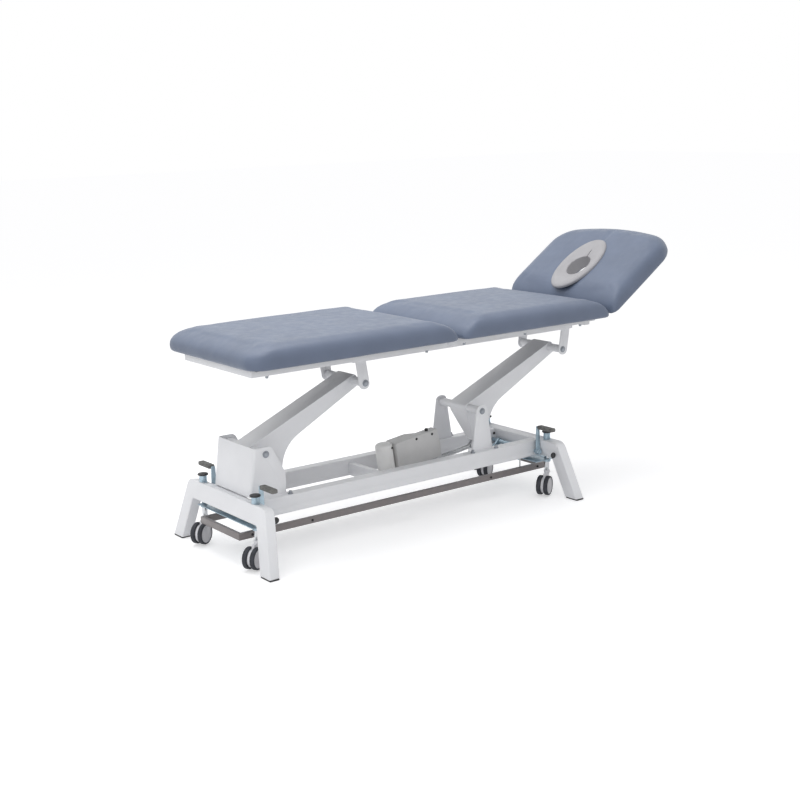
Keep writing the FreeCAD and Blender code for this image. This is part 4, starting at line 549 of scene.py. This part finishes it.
CAP_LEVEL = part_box("foot_castor_stems")[1].z - 0.0075
SLEEVE_LEVEL = 0.205
stem_parts = [(black_plastic, lambda middle: middle.z > CAP_LEVEL),
              (zinc, lambda middle: CAP_LEVEL >= middle.z > SLEEVE_LEVEL)]
PLAN = {
    "foot_portal": (coat_white, 0.0010), "head_portal": (coat_white, 0.0010),
    "near_rail": (coat_white, 0.0006), "far_rail": (coat_white, 0.0006),
    "foot_tower": (coat_white, 0.0010), "head_tower_near": (coat_white, 0.0010),
    "head_tower_far": (coat_white, 0.0010), "drive_mount": (coat_white, 0.0008),
    "foot_arm_tubes": (coat_white, 0.0008), "head_arm_tubes": (coat_white, 0.0008),
    "head_arm_lever": (coat_white, 0.0009), "main_frame": (coat_white, 0.0012),
    "lift_lugs": (coat_white, 0.0008), "leg_frame": (coat_white, 0.0014), "head_frame": (coat_white, 0.0012),
    "control_ring": (coat_ring, 0.0008), "ring_hangers": (steel, 0.0004),
    "lower_pivot_shafts": (bright_zinc, 0.0006), "upper_pivot_shafts": (bright_zinc, 0.0006),
    "section_hinge_pins": (steel, 0.0005), "clevis_pin": (steel, 0.0005), "push_rod": (steel, 0.0006),
    "drive_tube": (steel, 0.0006), "motor_housing": (motor_plastic, 0.0010),
    "cable_gland": (black_plastic, 0.0006), "foot_carriage": (zinc, 0.0006), "head_carriage": (zinc, 0.0006),
    "foot_pedal_shaft": (zinc, 0.0006), "head_pedal_shaft": (zinc, 0.0006),
    "foot_pedal_pads": (pad_rubber, 0.0010), "head_pedal_pads": (pad_rubber, 0.0010),
    "leg_spring_cylinder": (cylinder_paint, 0.0006), "head_spring_cylinder": (cylinder_paint, 0.0006),
    "leg_spring_rod": (chrome, 0.0004), "head_spring_rod": (chrome, 0.0004),
    "rubber_feet": (foot_rubber, 0.0008), "face_insert": (insert_plastic, 0.0020),
}
for end in ("foot", "head"):
    for side in ("near", "far"):
        tag = end + "_" + side
        PLAN[tag + "_castor_fork"] = (hood_plastic, 0.0008)
        PLAN[tag + "_wheels"] = (wheel_plastic, 0.0006)
        PLAN[tag + "_tyres"] = (tyre_rubber, 0.0006)
for node, (material, width) in PLAN.items():
    softened(node, material, width)
for end in ("foot", "head"):
    softened(end + "_castor_stems", chrome, 0.0006, parts=stem_parts)
    softened(end + "_lift_arm", coat_white, 0.0018)
softened("control_box", box_plastic, 0.0030)


# What repeats is made with geometry nodes and then turned into plain meshes

class Recipe:
    """A node tree with named sizes, run once on a mesh of marked points or a path."""

    def __init__(self, name):
        self.tree = bpy.data.node_groups.new(name, "GeometryNodeTree")
        self.tree.interface.new_socket("Geometry", in_out="INPUT", socket_type="NodeSocketGeometry")
        self.tree.interface.new_socket("Geometry", in_out="OUTPUT", socket_type="NodeSocketGeometry")
        self.sizes = {}
        self.start = self.add("NodeGroupInput")
        self.stop = self.add("NodeGroupOutput")

    def add(self, kind, **settings):
        node = self.tree.nodes.new(kind)
        for name, value in settings.items():
            setattr(node, name, value)
        return node

    def size(self, name, value):
        socket = self.tree.interface.new_socket(name, in_out="INPUT", socket_type="NodeSocketFloat")
        socket.default_value = value
        self.sizes[name] = socket.identifier
        return self.start.outputs[name]

    def link(self, output, target):
        self.tree.links.new(output, target)

    def finish(self, output, material):
        """Ends the tree in real, finished geometry."""
        real = self.add("GeometryNodeRealizeInstances")
        paint = self.add("GeometryNodeSetMaterial")
        paint.inputs["Material"].default_value = material
        self.link(output, real.inputs["Geometry"])
        self.link(real.outputs["Geometry"], paint.inputs["Geometry"])
        self.link(paint.outputs["Geometry"], self.stop.inputs[0])
        return self

    def run(self, piece, **sizes):
        modifier = piece.modifiers.new(self.tree.name, "NODES")
        modifier.node_group = self.tree
        for name, value in sizes.items():
            modifier[self.sizes[name.replace("_", " ")]] = value
        return evaluate(piece)


def marked_points(name, spots):
    """Loose points, each with the direction that its fastener points in."""
    mesh = bpy.data.meshes.new(name)
    mesh.from_pydata([spot for spot, face in spots], [], [])
    facing = mesh.attributes.new("facing", "FLOAT_VECTOR", "POINT")
    for index, (spot, face) in enumerate(spots):
        facing.data[index].vector = face
    piece = bpy.data.objects.new(name, mesh)
    collection.objects.link(piece)
    return piece


def fastener_recipe(name, sides, material, dimple):
    """A washer under a head with a small recess ring, set on every marked point and turned at random."""
    recipe = Recipe(name)
    head_radius = recipe.size("head radius", 0.005)
    head_height = recipe.size("head height", 0.004)
    washer_radius = recipe.size("washer radius", 0.007)
    washer = recipe.add("GeometryNodeMeshCylinder")
    washer.inputs["Vertices"].default_value = 24
    washer.inputs["Depth"].default_value = 0.0024
    recipe.link(washer_radius, washer.inputs["Radius"])
    head = recipe.add("GeometryNodeMeshCone")
    head.inputs["Vertices"].default_value = sides
    recipe.link(head_radius, head.inputs["Radius Bottom"])
    taper = recipe.add("ShaderNodeMath", operation="MULTIPLY")
    taper.inputs[1].default_value = 0.92 if sides < 9 else 0.72
    recipe.link(head_radius, taper.inputs[0])
    recipe.link(taper.outputs[0], head.inputs["Radius Top"])
    recipe.link(head_height, head.inputs["Depth"])
    rim = recipe.add("GeometryNodeMeshCylinder")
    rim.inputs["Vertices"].default_value = 6
    rim.inputs["Depth"].default_value = 0.0008
    inner = recipe.add("ShaderNodeMath", operation="MULTIPLY")
    inner.inputs[1].default_value = dimple
    recipe.link(head_radius, inner.inputs[0])
    recipe.link(inner.outputs[0], rim.inputs["Radius"])
    lift = recipe.add("GeometryNodeTransform")
    rise = recipe.add("ShaderNodeCombineXYZ")
    recipe.link(head_height, rise.inputs["Z"])
    recipe.link(rise.outputs[0], lift.inputs["Translation"])
    recipe.link(rim.outputs["Mesh"], lift.inputs["Geometry"])
    whole = recipe.add("GeometryNodeJoinGeometry")
    for part in (washer.outputs["Mesh"], head.outputs["Mesh"], lift.outputs["Geometry"]):
        recipe.link(part, whole.inputs["Geometry"])
    facing = recipe.add("GeometryNodeInputNamedAttribute", data_type="FLOAT_VECTOR")
    facing.inputs["Name"].default_value = "facing"
    aim = recipe.add("FunctionNodeAlignRotationToVector", axis="Z")
    recipe.link(facing.outputs["Attribute"], aim.inputs["Vector"])
    turn = recipe.add("FunctionNodeRandomValue", data_type="FLOAT")
    turn.inputs["Max"].default_value = 6.283
    turn.inputs["Seed"].default_value = 7
    spin = recipe.add("ShaderNodeCombineXYZ")
    recipe.link(turn.outputs["Value"], spin.inputs["Z"])
    spun = recipe.add("FunctionNodeRotateRotation", rotation_space="LOCAL")
    recipe.link(aim.outputs["Rotation"], spun.inputs["Rotation"])
    recipe.link(spin.outputs[0], spun.inputs["Rotate By"])
    place = recipe.add("GeometryNodeInstanceOnPoints")
    points = recipe.add("GeometryNodeMeshToPoints")
    recipe.link(recipe.start.outputs["Geometry"], points.inputs["Mesh"])
    recipe.link(points.outputs["Points"], place.inputs["Points"])
    recipe.link(whole.outputs["Geometry"], place.inputs["Instance"])
    recipe.link(spun.outputs["Rotation"], place.inputs["Rotation"])
    return recipe.finish(place.outputs["Instances"], material)


def fasteners(name, recipe, body, spots, **sizes):
    piece = recipe.run(marked_points(name, spots), **sizes)
    smooth_faces(piece, 30.0)
    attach(piece, body)


def path_piece(name, loops):
    """Closed or open runs of edges for a bead or a row to follow."""
    mesh = bpy.data.meshes.new(name)
    spots, edges = [], []
    for loop, closed in loops:
        first = len(spots)
        spots += [tuple(spot) for spot in loop]
        edges += [(first + k, first + k + 1) for k in range(len(loop) - 1)]
        if closed:
            edges.append((len(spots) - 1, first))
    mesh.from_pydata(spots, edges, [])
    piece = bpy.data.objects.new(name, mesh)
    collection.objects.link(piece)
    return piece


def bead_recipe(material):
    """A painted weld bead along a path, with the slight scallops of hand welding."""
    recipe = Recipe("weld_bead")
    thickness = recipe.size("thickness", 0.0022)
    curve = recipe.add("GeometryNodeMeshToCurve")
    recipe.link(recipe.start.outputs["Geometry"], curve.inputs["Mesh"])
    even = recipe.add("GeometryNodeResampleCurve", mode="LENGTH")
    even.inputs["Length"].default_value = 0.0028
    recipe.link(curve.outputs["Curve"], even.inputs["Curve"])
    wobble = recipe.add("FunctionNodeRandomValue", data_type="FLOAT")
    wobble.inputs["Min"].default_value = 0.72
    wobble.inputs["Max"].default_value = 1.12
    wobble.inputs["Seed"].default_value = 11
    radius = recipe.add("ShaderNodeMath", operation="MULTIPLY")
    recipe.link(thickness, radius.inputs[0])
    recipe.link(wobble.outputs["Value"], radius.inputs[1])
    swell = recipe.add("GeometryNodeSetCurveRadius")
    recipe.link(even.outputs["Curve"], swell.inputs["Curve"])
    recipe.link(radius.outputs[0], swell.inputs["Radius"])
    section = recipe.add("GeometryNodeCurvePrimitiveCircle")
    section.inputs["Resolution"].default_value = 8
    section.inputs["Radius"].default_value = 1.0
    solid = recipe.add("GeometryNodeCurveToMesh")
    solid.inputs["Fill Caps"].default_value = True
    recipe.link(swell.outputs["Curve"], solid.inputs["Curve"])
    recipe.link(section.outputs["Curve"], solid.inputs["Profile Curve"])
    if "Scale" in solid.inputs:
        recipe.link(radius.outputs[0], solid.inputs["Scale"])
    return recipe.finish(solid.outputs["Mesh"], material)


def staple_recipe(material):
    """Staples at even steps along a path, each turned across it a little unevenly."""
    recipe = Recipe("staple_row")
    spacing = recipe.size("spacing", 0.045)
    curve = recipe.add("GeometryNodeMeshToCurve")
    recipe.link(recipe.start.outputs["Geometry"], curve.inputs["Mesh"])
    points = recipe.add("GeometryNodeCurveToPoints", mode="LENGTH")
    recipe.link(spacing, points.inputs["Length"])
    recipe.link(curve.outputs["Curve"], points.inputs["Curve"])
    wire = recipe.add("GeometryNodeMeshCube")
    wire.inputs["Size"].default_value = (0.0115, 0.0009, 0.0008)
    turn = recipe.add("FunctionNodeRandomValue", data_type="FLOAT")
    turn.inputs["Min"].default_value = -0.35
    turn.inputs["Max"].default_value = 0.35
    turn.inputs["Seed"].default_value = 5
    aim = recipe.add("FunctionNodeAlignRotationToVector", axis="X")
    recipe.link(points.outputs["Tangent"], aim.inputs["Vector"])
    spin = recipe.add("ShaderNodeCombineXYZ")
    recipe.link(turn.outputs["Value"], spin.inputs["Z"])
    spun = recipe.add("FunctionNodeRotateRotation", rotation_space="LOCAL")
    recipe.link(aim.outputs["Rotation"], spun.inputs["Rotation"])
    recipe.link(spin.outputs[0], spun.inputs["Rotate By"])
    place = recipe.add("GeometryNodeInstanceOnPoints")
    recipe.link(points.outputs["Points"], place.inputs["Points"])
    recipe.link(wire.outputs["Mesh"], place.inputs["Instance"])
    recipe.link(spun.outputs["Rotation"], place.inputs["Rotation"])
    return recipe.finish(place.outputs["Instances"], material)


hex_bolts = fastener_recipe("hex_bolts", 6, bright_zinc, 0.45)
dark_screws = fastener_recipe("dark_screws", 20, black_plastic, 0.5)
bead = bead_recipe(coat_white)
staples = staple_recipe(steel)
DOWN = Vector((0, 0, -1))
UP = Vector((0, 0, 1))
RAIL_TOP = 226
NEAR = Vector((0, -1, 0))
FAR = Vector((0, 1, 0))


def spot(x, y, z):
    """A place given from the middle of the base, in millimetres."""
    return Vector((BASE_MIDDLE + x / 1000, y / 1000, z / 1000))


fasteners("leg_frame_bolts", hex_bolts, "leg_section",
          [(spot(x, y, 687 - 1.2), DOWN) for x in (-642, 50) for y in (-223.5, 223.5)],
          head_radius=0.0058, head_height=0.009, washer_radius=0.0080)
fasteners("mid_rim_bolts", hex_bolts, "top",
          [(spot(x, y, 694 - 1.2), DOWN) for x in (230, 540, 840) for y in (-223.5, 223.5)],
          head_radius=0.0058, head_height=0.009, washer_radius=0.0080)
fasteners("tower_bolts", hex_bolts, "base",
          [(spot(x, y, RAIL_TOP + 1.2), UP) for x in (-519, 454, 333) for y in (-143, 143)],
          head_radius=0.0065, head_height=0.011, washer_radius=0.0095)
fasteners("ring_screws", dark_screws, "control_bar",
          [(spot(x, y, 107.5), NEAR if y < 0 else FAR) for x in (-681, -428, 428, 681) for y in (-140.9, 140.9)],
          head_radius=0.0040, head_height=0.0036, washer_radius=0.0046)
fasteners("rail_plugs", dark_screws, "base",
          [(spot(x, 107.2, 207.5), NEAR) for x in (-660, 660)],
          head_radius=0.0046, head_height=0.0020, washer_radius=0.0058)
fasteners("control_box_screws", dark_screws, "drive",
          [(spot(214.2, -35.0, 303.8), NEAR), (spot(136.7, -35.0, 296.6), NEAR),
           (spot(19.4, -29.2, 280), Vector((0, -0.9, 0.43)))],
          head_radius=0.0040, head_height=0.0020, washer_radius=0.0050)


SHAFT_OUT = 0.655
SHAFT_HEIGHT = 0.182


def shaft_caps(end):
    """Black caps over the ends of the pedal shafts."""
    low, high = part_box(end + "_pedal_shaft")
    x = BASE_MIDDLE + (SHAFT_OUT if end == "head" else -SHAFT_OUT)
    profile = [(0.0, -0.001), (0.0115, -0.001), (0.0120, 0.0), (0.0120, 0.0035), (0.0108, 0.0052), (0.0070, 0.0062),
               (0.0, 0.0066)]
    shapes = [turned_shape(profile, 36, (x, low.y, SHAFT_HEIGHT), NEAR),
              turned_shape(profile, 36, (x, high.y, SHAFT_HEIGHT), FAR)]
    caps = new_object(end + "_shaft_caps", join_shapes(shapes), black_plastic)
    smooth_faces(caps, 40.0)
    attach(caps, end + "_pedals")


for end in ("foot", "head"):
    shaft_caps(end)


PORTAL_REACH = 0.743
PORTAL_DEPTH = 0.041
PORTAL_LEAN = math.radians(9.0)


def rail_outline(node, sign):
    """Where a rail meets the slanted face of a portal, as a closed run."""
    low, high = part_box(node)
    ring = []
    for y, z in ((low.y, low.z), (high.y, low.z), (high.y, high.z), (low.y, high.z)):
        out = PORTAL_REACH - PORTAL_DEPTH / math.cos(PORTAL_LEAN) - z * math.tan(PORTAL_LEAN)
        ring.append(Vector((BASE_MIDDLE + sign * out, y, z)))
    return ring, True


beads = [rail_outline(node, sign) for node in ("near_rail", "far_rail") for sign in (-1, 1)]
for x0, x1 in ((-676, -529), (342, 445)):
    beads += [([spot(x0, y, RAIL_TOP), spot(x1, y, RAIL_TOP)], False) for y in (-131, 131)]
base_beads = bead.run(path_piece("base_weld_beads", beads), thickness=0.0024)
smooth_faces(base_beads, 60.0)
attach(base_beads, "base")


# Under the upholstery: black cloth and its staples

def underside(name, body, left, right, half):
    """A thin cloth panel, and a staple row just outside its edge."""
    shape = rounded_block((left + 0.030, -half + 0.030, PAD_LOW - 0.0006),
                          (right - 0.030, half - 0.030, PAD_LOW + 0.002), 0.0004, 2)
    panel = new_object(name + "_cloth", shape, underside_cloth)
    left, right, half = left + 0.024, right - 0.024, half - 0.024
    hem = [Vector((x, y, PAD_LOW - 0.0002)) for x, y in ((left, -half), (right, -half), (right, half), (left, half))]
    row = staples.run(path_piece(name + "_staples", [(hem, True)]), spacing=0.045)
    for piece in (panel, row):
        smooth_faces(piece, 30.0)
        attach(piece, body)


underside("leg_underside", "leg_section", LEG_FOOT, SEAT_HINGE.x - 0.010, HALF_PAD)
underside("mid_underside", "top", SEAT_HINGE.x + 0.010, HEAD_HINGE.x - 0.010, HALF_PAD)


# Room, light and camera

def seen_directly(tree):
    """One where the camera, a reflection or a clear material sees the surface itself."""
    path = tree.nodes.new("ShaderNodeLightPath")
    either = tree.nodes.new("ShaderNodeMath")
    either.operation = "MAXIMUM"
    any_of = tree.nodes.new("ShaderNodeMath")
    any_of.operation = "MAXIMUM"
    tree.links.new(path.outputs["Is Camera Ray"], either.inputs[0])
    tree.links.new(path.outputs["Is Glossy Ray"], either.inputs[1])
    tree.links.new(either.outputs[0], any_of.inputs[0])
    tree.links.new(path.outputs["Is Transmission Ray"], any_of.inputs[1])
    return any_of.outputs[0]


def make_floor():
    """A pale floor that carries a faint shadow and otherwise shows as the same white as the backdrop."""
    shape = bmesh.new()
    bmesh.ops.create_grid(shape, x_segments=1, y_segments=1, size=30.0)
    bmesh.ops.translate(shape, vec=(0.0, 0.0, -0.0005), verts=shape.verts)
    floor = new_object("floor", shape, bpy.data.materials.new("studio_floor"))
    material = floor.data.materials[0]
    material.use_nodes = True
    shader = material.node_tree.nodes["Principled BSDF"]
    shader.inputs["Base Color"].default_value = (0.80, 0.80, 0.81, 1.0)
    shader.inputs["Roughness"].default_value = 0.9
    shader.inputs["Specular IOR Level"].default_value = 0.0
    shader.inputs["Emission Color"].default_value = (1.0, 1.0, 1.0, 1.0)
    glow = material.node_tree.nodes.new("ShaderNodeMath")
    glow.operation = "MULTIPLY"
    glow.inputs[1].default_value = FLOOR_GLOW
    material.node_tree.links.new(seen_directly(material.node_tree), glow.inputs[0])
    material.node_tree.links.new(glow.outputs[0], shader.inputs["Emission Strength"])


FLOOR_GLOW = 0.43
WORLD_LIGHT = 0.70
make_floor()
world = bpy.data.worlds.new("studio")
bpy.context.scene.world = world
world.use_nodes = True
background = world.node_tree.nodes["Background"]
background.inputs["Color"].default_value = (1.0, 1.0, 1.0, 1.0)
strength = world.node_tree.nodes.new("ShaderNodeMapRange")
strength.inputs["To Min"].default_value = WORLD_LIGHT
strength.inputs["To Max"].default_value = 1.0
world.node_tree.links.new(seen_directly(world.node_tree), strength.inputs["Value"])
world.node_tree.links.new(strength.outputs["Result"], background.inputs["Strength"])


def area_light(name, place, aim, size, power):
    lamp = bpy.data.lights.new(name, "AREA")
    lamp.shape = "RECTANGLE"
    lamp.size, lamp.size_y = size
    lamp.energy = power
    holder = bpy.data.objects.new(name, lamp)
    collection.objects.link(holder)
    holder.location = place
    holder.rotation_euler = (Vector(aim) - Vector(place)).to_track_quat("-Z", "Y").to_euler()


area_light("top_softbox", (-0.6, 0.4, 3.4), (0.0, 0.0, 0.7), (3.4, 2.6), 66.0)
area_light("left_softbox", (-3.6, -1.8, 2.0), (0.0, 0.0, 0.6), (2.2, 2.0), 14.0)

camera_data = bpy.data.cameras.new("photo_camera")
camera_data.lens = 59.95
camera_data.sensor_width = 36.0
camera = bpy.data.objects.new("photo_camera", camera_data)
collection.objects.link(camera)
yaw, pitch, roll = 0.63923, 0.215156, -0.02548
camera.location = (-2.9367 + BASE_MIDDLE, -4.0676, 1.5627)
forward = Vector((math.cos(pitch) * math.sin(yaw), math.cos(pitch) * math.cos(yaw), -math.sin(pitch)))
right = forward.cross(Vector((0, 0, 1))).normalized()
above = right.cross(forward)
turned_right = right * math.cos(roll) + above * math.sin(roll)
turned_up = above * math.cos(roll) - right * math.sin(roll)
camera.rotation_euler = Matrix((turned_right, turned_up, -forward)).transposed().to_euler()
bpy.context.scene.camera = camera
bpy.context.scene.view_settings.view_transform = "Standard"
